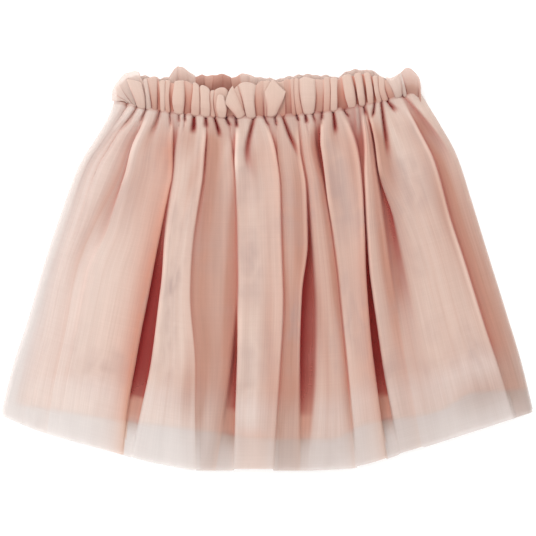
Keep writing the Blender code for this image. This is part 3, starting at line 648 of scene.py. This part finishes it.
def liningFeatures(grid, deep):
    # how much lining lies under each point, and whether it is the turned band
    x = grid[..., 0]
    y = grid[..., 1]
    above = y - liningHemY(x)
    down = np.clip((seamY(x) - y) / netShape["length"], 0, 1)
    left, right = edgesAt(down)
    inset, taper, soft = liningShows["side"]
    sideways = ease((x - left - inset - taper * down) / soft + 0.4)
    lined = ease(above / liningShows["hemSoft"] + 0.5) * sideways
    share, reach = liningShows["leftBand"]
    edge = share * (1 - ease((x - left) / reach))
    crisp, soft = (ease(1 - (above - liningHem["turnUp"]) / reach) for reach in liningShows["bandEdges"])
    turned = np.maximum(edge, soft + deep * (crisp - soft)) * lined
    return lined, turned


# materials


def tint(red, green, blue, depth=1.0):  # a colour as it looks on screen, 0 to 255, made darker by depth
    return tuple(depth * ((value / 255 + 0.055) / 1.055) ** 2.4 for value in (red, green, blue)) + (1,)


class Nodes:  # short ways to add and join a material's nodes
    def __init__(self, name):
        self.material = bpy.data.materials.new(name)
        self.material.use_nodes = True
        self.tree = self.material.node_tree
        self.shader = self.tree.nodes["Principled BSDF"]

    def add(self, kind, **settings):
        node = self.tree.nodes.new(kind)
        for key, value in settings.items():
            setattr(node, key, value)
        return node

    def put(self, socket, value):  # a number or a colour, or what another node gives
        if isinstance(value, (int, float, tuple)):
            socket.default_value = value
        else:
            self.tree.links.new(value, socket)

    def feature(self, name):
        return self.add("ShaderNodeAttribute", attribute_name=name).outputs["Fac"]

    def math(self, operation, first, second=0.0, third=0.0, clamp=False):
        node = self.add("ShaderNodeMath", operation=operation, use_clamp=clamp)
        for socket, value in zip(node.inputs, (first, second, third)):
            self.put(socket, value)
        return node.outputs[0]

    def times(self, value, factor, share, least, clamp=False):
        # value times (factor times share plus least)
        factor = self.math("MULTIPLY_ADD", factor, share, least)
        return self.math("MULTIPLY", value, factor, clamp=clamp)

    def swing(self, value, amount):  # from 0 to 1 to half of amount each way
        return self.math("MULTIPLY_ADD", value, amount, -0.5 * amount)

    def mix(self, factor, first, second, blend="MIX"):
        node = self.add("ShaderNodeMix", data_type="RGBA", blend_type=blend)
        sockets = {socket.identifier: socket for socket in node.inputs}
        self.put(sockets["Factor_Float"], factor)
        self.put(sockets["A_Color"], first)
        self.put(sockets["B_Color"], second)
        return next(s for s in node.outputs if s.identifier == "Result_Color")

    def clothNoise(self, scale, detail=2.0, roughness=0.6):
        # noise laid along the cloth: scale is its lumps to a metre, across and down
        mapping = self.add("ShaderNodeMapping")
        self.put(mapping.inputs["Vector"], self.add("ShaderNodeUVMap", uv_map="clothLengths").outputs["UV"])
        self.put(mapping.inputs["Scale"], (*scale, 1))
        noise = self.add("ShaderNodeTexNoise")
        self.put(noise.inputs["Vector"], mapping.outputs["Vector"])
        for name, value in (("Scale", 1), ("Detail", detail), ("Roughness", roughness)):
            self.put(noise.inputs[name], value)
        return noise.outputs["Fac"]

    def finish(self, colour, surface):
        self.put(self.shader.inputs["Base Color"], colour)
        for name, value in surface.items():
            self.put(self.shader.inputs[name], value)
        return self.material


netLook = {
    # over the lining, without it and over its band: the colour where the net lies open, its painted shade,
    # its rosy edges (partly painted shade) and the dark red painted shade deep inside a fold
    "lined": ((243, 220, 206), (206, 158, 138), (228, 160, 134), (146, 40, 38)),
    "bare": ((239, 230, 226), (192, 166, 154), (232, 188, 164), (176, 136, 118)),
    "band": ((247, 231, 222), (202, 164, 148), (230, 174, 150), (206, 144, 122)),
    "smoky": (193, 168, 162),  # the cloudy patches where the layers' threads cross
    "rim": (240, 210, 194),  # the crisp edge of a fold: denser where the layers are seen on edge, and a painted highlight where it catches the light
    "rimShare": 0.4,
    "depth": 0.765,
    "cover": 0.56,  # how much of the view one layer of net stops where it lies open
    "coverDeep": 0.72,
    "coverRim": 0.86,
    "surface": {"Roughness": 0.8, "Sheen Weight": 0.25, "Sheen Roughness": 0.5, "Specular IOR Level": 0.2},
    "threads": (1050, 14),  # lumps to a metre, across and down
    "weft": (16, 1000),
    "patches": (46, 26),
    "clouds": (17, 10),
    "streaks": (130, 4),
    "threadDark": 0.26,
    "weftDark": 0.10,
    "mean": 0.92,
    "streaky": 0.6,
    "cloudEdges": (3.2, -1.45),
    "rings": 3.6,
    "ringShare": (0.56, 0.26),
    "overLining": (0.8, 0.2),  # streaks and smoke show over the lining, and this share without it
    "warmShade": (1.34, 0.36, 0.28, 1),  # painted warm shade: what is left of the colour where only light from the cloth reaches it
    "warmShadePower": 1.1,
    "warmShadeShare": 1.0,
    "warmShadeBare": 0.0,  # its share where no lining lies under the net
    # how much of the painted warm shade is taken off over the lining's band
    "turnedCool": 0.85,
}


def stateColour(nodes, look, state, shares):
    colour, *others = (tint(*shade, look["depth"]) for shade in look[state])
    for share, other in zip(shares, others):
        colour = nodes.mix(share, colour, other)
    return colour


def netMaterial(name, look, cover=1.0):
    nodes = Nodes(name)
    tone, rosy, deep, rim = (nodes.feature(feature) for feature in ("tone", "rosy", "deep", "rim"))
    sky, lined, turned = (nodes.feature(feature) for feature in ("sky", "lined", "turned"))
    streaks = nodes.swing(nodes.clothNoise(look["streaks"]), look["streaky"])
    tone = nodes.math("ADD", tone, nodes.times(streaks, lined, *look["overLining"]), clamp=True)
    shares = (tone, rosy, deep)
    bare, body, band = (stateColour(nodes, look, state, shares) for state in ("bare", "lined", "band"))
    colour = nodes.mix(lined, bare, nodes.mix(turned, body, band))
    clouds = nodes.clothNoise(look["clouds"], 3.0)
    clouds = nodes.math("MULTIPLY_ADD", clouds, *look["cloudEdges"], clamp=True)
    rings = nodes.math("MULTIPLY", nodes.clothNoise(look["patches"], 2.0, 0.5), look["rings"] * 2 * math.pi)
    rings = nodes.math("MULTIPLY_ADD", nodes.math("SINE", rings), 0.5, 0.5)
    smoke = nodes.times(clouds, rings, *look["ringShare"])
    smoke = nodes.times(smoke, deep, -1.0, 1.0)
    smoke = nodes.times(smoke, nodes.math("SUBTRACT", lined, turned), *look["overLining"], clamp=True)
    colour = nodes.mix(smoke, colour, tint(*look["smoky"], look["depth"]))
    edge = nodes.math("MULTIPLY", rim, look["rimShare"])
    colour = nodes.mix(edge, colour, tint(*look["rim"], look["depth"]))
    threads = nodes.swing(nodes.clothNoise(look["threads"]), look["threadDark"])
    shade = nodes.math("ADD", nodes.times(threads, lined, 0.6, 0.4), look["mean"])
    shade = nodes.math("MULTIPLY_ADD", nodes.clothNoise(look["weft"]), look["weftDark"], shade)
    grey = nodes.add("ShaderNodeCombineColor")
    for socket in grey.inputs:
        nodes.put(socket, shade)
    colour = nodes.mix(1.0, colour, grey.outputs["Color"], "MULTIPLY")
    # painted warm shade: where little light reaches, the colour turns redder, standing in for light passed
    # between the pink layers
    hidden = nodes.math("POWER", nodes.math("SUBTRACT", 1.0, sky), look["warmShadePower"])
    hidden = nodes.math("MULTIPLY", hidden, look["warmShadeShare"])
    hidden = nodes.times(hidden, lined, 1 - look["warmShadeBare"], look["warmShadeBare"])
    hidden = nodes.times(hidden, turned, -look["turnedCool"], 1.0, clamp=True)
    colour = nodes.mix(hidden, colour, nodes.mix(1.0, colour, look["warmShade"], "MULTIPLY"))
    stop = nodes.math("MULTIPLY_ADD", deep, look["coverDeep"] - look["cover"], look["cover"])
    stop = nodes.math("MULTIPLY_ADD", rim, look["coverRim"] - look["cover"], stop)
    if "coverSheer" in look:
        sheer = nodes.feature("sheer")
        stop = nodes.math("MULTIPLY_ADD", sheer, look["coverSheer"] - look["cover"], stop)
    nodes.put(nodes.shader.inputs["Alpha"], nodes.math("MULTIPLY", stop, cover))
    return nodes.finish(colour, look["surface"])


liningLook = {
    "body": ((186, 84, 74), (204, 104, 90)),
    "band": ((206, 142, 120), (216, 156, 134)),  # its doubled hem
    "mottle": (40, 25),
    "surface": {"Roughness": 0.7, "Specular IOR Level": 0.2},
}


def liningMaterial():
    nodes = Nodes("liningCloth")
    mottle = nodes.clothNoise(liningLook["mottle"], 3.0, 0.5)
    body, band = (
        nodes.mix(mottle, *(tint(*colour, netLook["depth"]) for colour in liningLook[part]))
        for part in ("body", "band")
    )
    colour = nodes.mix(nodes.feature("turned"), body, band)
    return nodes.finish(colour, liningLook["surface"])


# pieces


def place(piece, slotName, node):
    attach(piece, "root")
    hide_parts(node)


def sewn(name, slotName, node, grid, features, material, acrossRow=-1):
    # one sheet in its place, and its flat width and length in metres
    lengths = clothLengths(grid, acrossRow)
    piece = clothMesh(name, grid, features, material, lengths)
    place(piece, slotName, node)
    return piece, *(lengths[-1, -1] * mm)


def frontNet():
    grid, features = netSurface()
    normals = sectionNormals(grid)
    lengths = clothLengths(grid, -1)
    features["lined"], features["turned"] = liningFeatures(grid, features["deep"])
    material = netMaterial("outerNet", netLook)
    half = netShape["layerGap"] / 2
    outer = clothMesh("netFrontOuter", grid + half * normals, features, material, lengths)
    inner = clothMesh("netFrontInner", grid - half * normals, features, material, lengths)
    for piece in (outer, inner):
        place(piece, "net", "tulle_front")


flatShape = {"columns": 160, "rows": 90, "cutShare": 0.8}
flatNet = {"z": 0.6, "hemShorter": 2.0, "cover": 1.4}


def flatSheet(z, top, bottom, margin=0, taper=0):
    grid = []
    columns = flatShape["columns"]
    for down in np.linspace(0, 1, flatShape["rows"]):
        left, right = edgesAt(down)
        inset = margin + taper * down
        x = np.linspace(left + inset, right - inset, columns)
        grid.append(np.stack([x, fanY(x, down, top, bottom), np.full(columns, z)], axis=1))
    return np.array(grid)


def backNet():
    def hem(x):
        return netHemY(x) + flatNet["hemShorter"]

    grid = flatSheet(flatNet["z"], backSeamY, hem)
    features = {"tone": 0, "rosy": 0, "deep": 0, "rim": 0, "sky": 1}
    features["lined"], features["turned"] = liningFeatures(grid, 0)
    material = netMaterial("backNet", netLook, flatNet["cover"])
    piece, wide, tall = sewn("netBack", "net", "tulle_back", grid, features, material)


liningShape = {"frontZ": 3.3, "backZ": 2.0, "margin": 3.0, "taper": 9.0, "topInset": 2.0, "bandSoft": 1.5}


def lining(name, node, z, seamLine, shorter, material):
    setup = liningShape

    def top(x):
        return seamLine(x) - setup["topInset"]

    def hem(x):
        return liningHemY(x) + shorter

    grid = flatSheet(z, top, hem, setup["margin"], setup["taper"])
    above = grid[..., 1] - liningHemY(grid[..., 0])
    features = {"turned": ease(1 - (above - liningHem["turnUp"]) / setup["bandSoft"])}
    piece, wide, tall = sewn(name, "lining", node, grid, features, material)


def linings():
    material = liningMaterial()
    shorter = liningHem["backShorter"]
    lining("liningFront", "lining_front", liningShape["frontZ"], seamY, 0, material)
    lining("liningBack", "lining_back", liningShape["backZ"], backSeamY, shorter, material)


# the frill above the gathering line: a strip gathered into waves and folded over at its top

frillShape = {
    "seamZ": 7.4,
    "rise": 2.6,
    "thick": 0.9,
    "pinch": 0.45,  # how much of its fullness a wave has at the gathering line
    "fullAt": 0.3,
    "narrows": (0.45, 0.35),  # by how much it flattens towards the top, and from where
    "dive": 2.4,
    "netTop": 9.5,
    "hang": (1.4, 0.2),  # how far a wave's foot hangs over the gathering line, and how far up that goes
    "topRound": 0.7,
    "puffShare": 0.62,
    "sway": (0.9, 5.5, 2.7),  # how far the waves lean along the strip, and the lengths of that
    "ragged": (0.35, 0.83, 0.37),  # how uneven the top is, and how often
    # painted shade: tan on the waves' sides and dark in the creases between them
    "sideTan": 0.35,
    "creaseDark": 1.0,
    "columns": 12,
    "footUp": 0.055,
    "footRows": 6,
    "upRows": 16,
    "overRows": 5,
    "backRows": 7,
}
# creases between the waves: foot across, foot's lift from the gathering line, head across and its height
# above that line
frontPosts = (
    (-112.8, 3, -124.4, 3.2), (-110.4, 2.6, -124, 10.9), (-107.2, 1.2, -119.2, 19.5),
    (-104, 0, -111.2, 26.1), (-101.6, 0, -102.4, 27.8), (-97.2, 0, -99.2, 20.3),
    (-92, 0, -95.6, 24.2), (-88, 0, -87.6, 25.1), (-85.6, 0, -86.4, 22),
    (-81.6, 0, -81.2, 23.2), (-77.2, 0, -77.2, 24.1), (-74.4, 0, -74.4, 22.1),
    (-66.8, 0, -66, 24.6), (-61.2, 0, -59.2, 23.7), (-53.6, 0, -54, 21),
    (-45.2, 0, -45.6, 18.7), (-40.8, 0, -42, 20.2), (-32.8, 0, -31.2, 19.8),
    (-24.8, 0, -28, 16.7), (-16.8, 0, -23.2, 24.8), (-8.4, 0, -8.4, 25.1),
    (-2.4, 0, -2.8, 27.8), (8, 0, 6.4, 25.8), (15.2, 0, 13.6, 26.9),
    (19.6, 0, 18.4, 27.8), (23.6, 0, 21.6, 27.5), (29.2, 0, 25.6, 26.8),
    (38, 0, 38.8, 25.7), (44.8, 0, 45.2, 25.3), (50.4, 0, 50.4, 24.6),
    (56.8, 0, 56.8, 23.2), (65.2, 0, 60, 23.4), (72, 0, 68, 23.6),
    (74, 0, 69.6, 23.3), (79.2, 0, 76, 23.3), (80.8, 0, 77.6, 22.9),
    (85.6, 0, 82.8, 21), (88, 0, 84.4, 19.1), (92.4, 0, 89.2, 18),
    (97.6, 0, 94.4, 14.7), (103.2, 0, 100, 11.3), (108.8, 0, 103.2, 13.7),
    (112.4, -1.4, 107.4, 17.2), (121.2, -8, 120.8, 11.1), (122.8, -11, 123.2, 0),
)
# for each wave: how far it stands up, how much higher its middle is than its ends, how far it leans over,
# how much wider it is than its foot, how tan it is painted (as shade in the recesses) and how sheer
frontWaves = (
    (0.5, 0, 0, 0, 0, 0.6), (0.6, 1.5, 0, 0, 0, 0.7), (0.8, 1.5, 0, 0, 0.1, 0.7),
    (0.5, 0.8, 0, 0, 0, 0.7), (-0.6, 0, 0, 0, 0.2, 0.5), (3.5, 0.8, -0.6, 0.1, 0, 0.4),
    (3, 0.3, 0.3, 0.1, 0.4, 0.2), (-1.5, 0.3, 0, 0, 0.55, 0), (3.2, 0.5, 0, 0.18, 0, 0),
    (2.6, 0.4, 0, 0.18, 0.2, 0), (-2.4, 0, 0, 0, 0.4, 0), (6, 1.2, -0.6, 0.2, 0, 0),
    (1, 0.9, 0, 0, 0.7, 0), (5, 1.5, -0.5, 0.2, 0.1, 0), (5.5, 2.2, 0.3, 0.2, 0, 0),
    (2, 0.5, 0, 0.1, 0.1, 0), (3, 1.2, 0, 0.15, 0.3, 0), (-2.4, 0, 0, 0, 0.4, 0),
    (3.5, 0.5, 0, 0.1, 0.3, 0), (5.5, 1.2, 0, 0.15, 0, 0.1), (1, 0.8, 0, 0, 0.6, 0),
    (2, 0.5, 0, 0, 0.2, 0), (-1.6, 0, 0, 0, 0.4, 0), (-1, 0.4, 0, 0, 0.8, 0),
    (2.2, 0.4, 0.3, 0.1, 0.45, 0), (2.4, 0.3, 0.4, 0.1, 0.3, 0), (5.5, 0.7, 0, 0.15, 0, 0.1),
    (0.5, 0.4, 0, 0, 0.55, 0.1), (3, 0.3, 0, 0.12, 0.25, 0), (4.5, 0.4, 0, 0.18, 0, 0),
    (-1.5, 0.6, 0, 0, 0.75, 0), (5, 0.5, -1, 0.18, 0.05, 0), (-2, 0, 0, 0, 1.3, 0),
    (5, 0.8, -1, 0.2, 0.05, 0), (-2, 0, 0, 0, 1.3, 0), (4, 0.6, -0.6, 0.2, 0.1, 0),
    (-1.6, 0, 0, 0, 1.3, 0), (4, 0.8, -0.6, 0.2, 0.1, 0), (3, 0.8, -0.4, 0.15, 0.15, 0),
    (1, 0.2, 0, 0, 0.5, 0), (1, 0, 0, 0, 0.5, 0.1), (2, 1, 0, 0.1, 0, 0.5),
    (2, 4.2, 0, 0, 0.85, 0.4), (1, 1, 0.8, 0, 0.85, 0.4),
)
# flaps of the frill that fall over their neighbours: two creases, the wave between them, where across its
# top is highest and how pointed it is there
frontFlaps = (
    (((-104, 0, -112, 20.3), (-97.2, 0, -100.4, 19.3)), (3.5, 0.6, 0, 0.1, 0, 0.2), 0.5, 2),
    (((-39.2, 0, -40, 14.3), (-32.8, 0, -34, 13.3)), (4.5, 1.6, 0, 0.2, 0, 0), 0.5, 2),
    (((-24, -1.3, -33.6, 11.3), (-16.8, 2.2, -27.2, 24.3)), (3, 0.8, 0, 0, 0, 0), 0.6, 2),
    (((-0.4, 0, -1.6, 18.9), (8, 1.5, 14.8, 19.3)), (3.5, 8.8, 0, 0, 0, 0), 0.38, 1.15),
    (((102.4, 0, 95.2, 15.3), (108.4, 0, 106.6, 16.8)), (3.5, -2.2, 0, 0, 0, 0.4), 0.35, 1.3),
)


def frillGrid(posts, waves, shape, line, top=0.5, point=2.0):
    # a grid of points from the wave's foot up, over the fold at the top and down behind, and its features
    posts = np.array(posts)
    waves = np.array(waves)
    columns = shape["columns"]
    k = np.append(np.repeat(np.arange(len(waves)), columns), len(waves) - 1)
    u = np.append(np.tile(np.arange(columns) / columns, len(waves)), 1.0)
    footX, lift, headX, height = (posts[k] + u[:, None] * (posts[k + 1] - posts[k])).T
    puff, rise, lean, bulge, tone, sheer = waves[k].T
    width = np.abs(posts[k + 1, 0] - posts[k, 0])
    side = np.abs(2 * u - 1)
    domed = puff > 2
    puff = puff * shape["puffShare"]
    amount, long, short = shape["sway"]
    sway = amount * (np.sin(footX / long) + 0.6 * np.sin(footX / short + 1))
    beside = np.where(u < top, (top - u) / top, (u - top) / (1 - top))
    rounded = (1 - side**2.4) ** 0.7
    height = height + (rise + shape["topRound"] * domed) * (1 - beside**point)
    amount, often, seldom = shape["ragged"]
    height = height + amount * (np.sin(often * footX) + np.sin(seldom * footX + 2))
    footY = line(footX) + lift
    headY = line(footX) + height
    hang, hangUp = shape["hang"]
    rows = []
    foot = np.linspace(0, shape["footUp"], shape["footRows"])
    ups = np.concatenate([foot, np.linspace(shape["footUp"], 1, shape["upRows"])[1:]])
    for up in ups:
        full = ease(up / shape["fullAt"])
        share, start = shape["narrows"]
        grown = 1 - share * ease((up - start) / (1 - start))
        grown = grown * (shape["pinch"] + (1 - shape["pinch"]) * full)
        thick = shape["thick"] * (0.3 + 0.7 * full)
        low = 1 - ease(up / shape["footUp"])
        out = grown * (1 - low)
        x = footX + up * (headX - footX) + sway * math.sin(math.pi * up)
        x = x + lean * rounded * out - bulge * width * np.sin(2 * math.pi * u) * out
        y = footY + up * (headY - footY) - hang * (1 - side**2) * (1 - ease(up / hangUp))
        z = shape["seamZ"] + shape["rise"] * up + puff * rounded * grown
        z = z - shape["dive"] * low * (1 - 0.5 * rounded)
        rows.append((x, y, z, thick))
    grid = [np.stack([x, y, z + thick], axis=1) for x, y, z, thick in rows]
    x, y, z, thick = rows[-1]
    for turn in np.linspace(0, math.pi, shape["overRows"] + 2)[1:-1]:
        grid.append(np.stack([x, y + thick * math.sin(turn), z + thick * math.cos(turn)], axis=1))
    for j in np.linspace(len(rows) - 1, 0, shape["backRows"]).astype(int):
        x, y, z, thick = rows[j]
        grid.append(np.stack([x, y, z - thick], axis=1))
    grid = np.array(grid)
    above = np.append(ups, np.ones(len(grid) - len(ups)))[:, None]  # everything past the top is hidden
    sky = np.array([skyShare(row[:, 0], row[:, 2]) for row in grid])
    before = np.maximum(0, shape["netTop"] - grid[..., 2])
    sky = sky * openPast(before, 1.0 + np.abs(grid[..., 1] - footY))
    sky = sky + sheer * (1 - sky)
    # painted shade: dark where little light reaches, along the foot and in the creases between the waves,
    # and a tone painted darker towards the foot and on the sides; past full tan it turns brown
    deep = np.clip(1.0 - 2.2 * sky, 0, 1) * (1 - 0.8 * ease(above / 0.8))
    deep = deep + 0.9 * (1 - ease(above / shape["footUp"])) * (1 - 0.5 * rounded)
    deep = deep + shape["creaseDark"] * side**10 * (1 - ease((above - 0.1) / 0.8))
    shaded = tone * (1.3 - 0.7 * above) + (1 - above) ** 1.5 * (0.4 + tone)
    shaded = shaded + shape["sideTan"] * side**4 * (1.1 - above)
    return grid, {
        "tone": np.clip(shaded, 0, 1),
        "rosy": np.clip(shaded - 1, 0, 1),
        "deep": np.clip(deep, 0, 1),
        "sky": sky,
        "rim": 0,
        "sheer": sheer,
        "lined": sheer,
        "turned": 1,
    }


# the frill's colours: its brown and dark ones are painted shade in the recesses and along its foot
frillLook = dict(
    netLook,
    bare=((225, 196, 181), (208, 158, 140), (172, 116, 100), (130, 46, 42)),
    band=((246, 228, 219), (206, 176, 160), (190, 150, 134), (150, 92, 80)),
    cover=0.80,
    coverDeep=0.95,
    coverRim=0.80,
    coverSheer=0.36,
    warmShade=(1.28, 0.66, 0.55, 1),
    warmShadeShare=0.9,
    warmShadeBare=1.0,
    turnedCool=0.0,
)
backFrill = {
    "waves": 34,
    "halfWidth": 120,
    "spread": 1.01,
    "swing": (1.4, 1.6),
    "shaded": (-41, 13, 8),  # the painted shade on the stretch seen inside the waist: its middle, reach and soft ends
    "outline": (  # its top edge
        (-123.2, 141.2), (-113.6, 150.8), (-101.6, 154), (-85.6, 151.2), (-80, 152.4), (-71.2, 161.6),
        (-63.2, 158), (-58.4, 152.8), (-44, 154.4), (-32.8, 154.8), (-28.8, 152), (-23.2, 154.8),
        (-13.6, 154.4), (-4, 152), (6.4, 150.8), (18.4, 153.2), (34.4, 154.8), (46.4, 153.6),
        (58.4, 152.4), (62.4, 153.2), (64.8, 158), (68, 159.2), (80.8, 158), (83, 156.2),
        (86.4, 157.2), (91.2, 154), (95.2, 150.8), (122.4, 144.4),
    ),
}


flapShape = dict(frillShape, seamZ=frillShape["seamZ"] + 1.6, columns=16)
backShape = dict(frillShape, seamZ=2.2, rise=1.5, thick=0.8, pinch=0.5, dive=0.6)


def frontFrill():
    material = netMaterial("frillNet", frillLook)
    grid, features = frillGrid(frontPosts, frontWaves, frillShape, seamY)
    lengths = clothLengths(grid, 12)
    strip = clothMesh("frillFront", grid, features, material, lengths)
    flaps = []
    for k, (posts, wave, top, point) in enumerate(frontFlaps):
        flap, shades = frillGrid(posts, [wave], flapShape, seamY, top, point)
        flaps.append(clothMesh(f"frillFlap{k}", flap, shades, material, clothLengths(flap, 14)))
    bpy.ops.object.select_all(action="DESELECT")
    for piece in flaps + [strip]:
        piece.select_set(True)
    bpy.context.view_layer.objects.active = strip
    bpy.ops.object.join()
    bpy.ops.object.select_all(action="DESELECT")
    place(strip, "net", "waist_frill_front")


def frillBehind():
    setup = backFrill
    footX = np.linspace(-setup["halfWidth"], setup["halfWidth"], setup["waves"] + 1)
    headX = footX * setup["spread"]
    headY = curve(headX, *np.array(setup["outline"]).T)
    posts = [(x, 0.0, over, y - backSeamY(x)) for x, over, y in zip(footX, headX, headY)]
    least, swing = setup["swing"]
    middle, reach, soft = setup["shaded"]
    waves = []
    for k, x in enumerate(footX[:-1]):
        shaded = 1 - ease((abs(x - middle) - reach) / soft)
        turn = math.sin(2.3 * k)
        tone = 0.5 + shaded * (1.4 + 0.7 * turn)
        waves.append((least + swing * turn, 0.2, 0.0, 0.0, tone, 0.3 * (1 - shaded)))
    grid, features = frillGrid(posts, waves, backShape, backSeamY)
    material = netMaterial("backFrillNet", frillLook)
    piece, wide, tall = sewn("frillBack", "net", "waist_frill_back", grid, features, material, 14)


# floor and light

studio = {
    "floor": (tint(254, 254, 254), tint(252, 252, 251)),
    "floorZ": -0.0003,
    "floorSize": 6.0,
    "world": 1.30,
    "keyPlace": (-1.3, 1.0, 1.7),
    "keySize": 1.3,
    "keyPower": 29,
}


def makeStudio():
    bpy.ops.mesh.primitive_plane_add(size=studio["floorSize"], location=(0, 0, studio["floorZ"]))
    floor = bpy.context.object
    floor.name = "floor"
    nodes = Nodes("paleFloor")
    noise = nodes.add("ShaderNodeTexNoise")
    nodes.put(noise.inputs["Scale"], 3)
    nodes.put(noise.inputs["Vector"], nodes.add("ShaderNodeTexCoord").outputs["Object"])
    colour = nodes.mix(noise.outputs["Fac"], *studio["floor"])
    floor.data.materials.append(nodes.finish(colour, {"Roughness": 0.9}))
    scene = bpy.context.scene
    scene.world = bpy.data.worlds.new("softLight")
    scene.world.use_nodes = True
    background = scene.world.node_tree.nodes["Background"]
    background.inputs["Color"].default_value = (1, 1, 1, 1)
    background.inputs["Strength"].default_value = studio["world"]
    light = bpy.data.lights.new("keyLight", "AREA")
    light.size = studio["keySize"]
    light.energy = studio["keyPower"]
    lamp = bpy.data.objects.new("keyLight", light)
    lamp.location = studio["keyPlace"]
    lamp.rotation_euler = (-Vector(studio["keyPlace"])).to_track_quat("-Z", "Y").to_euler()
    scene.collection.objects.link(lamp)
    scene.view_settings.view_transform = "Standard"
    scene.cycles.transparent_max_bounces = 48
    scene.cycles.diffuse_bounces = 6


makeCamera()
makeStudio()
frontNet()
backNet()
linings()
frontFrill()
frillBehind()
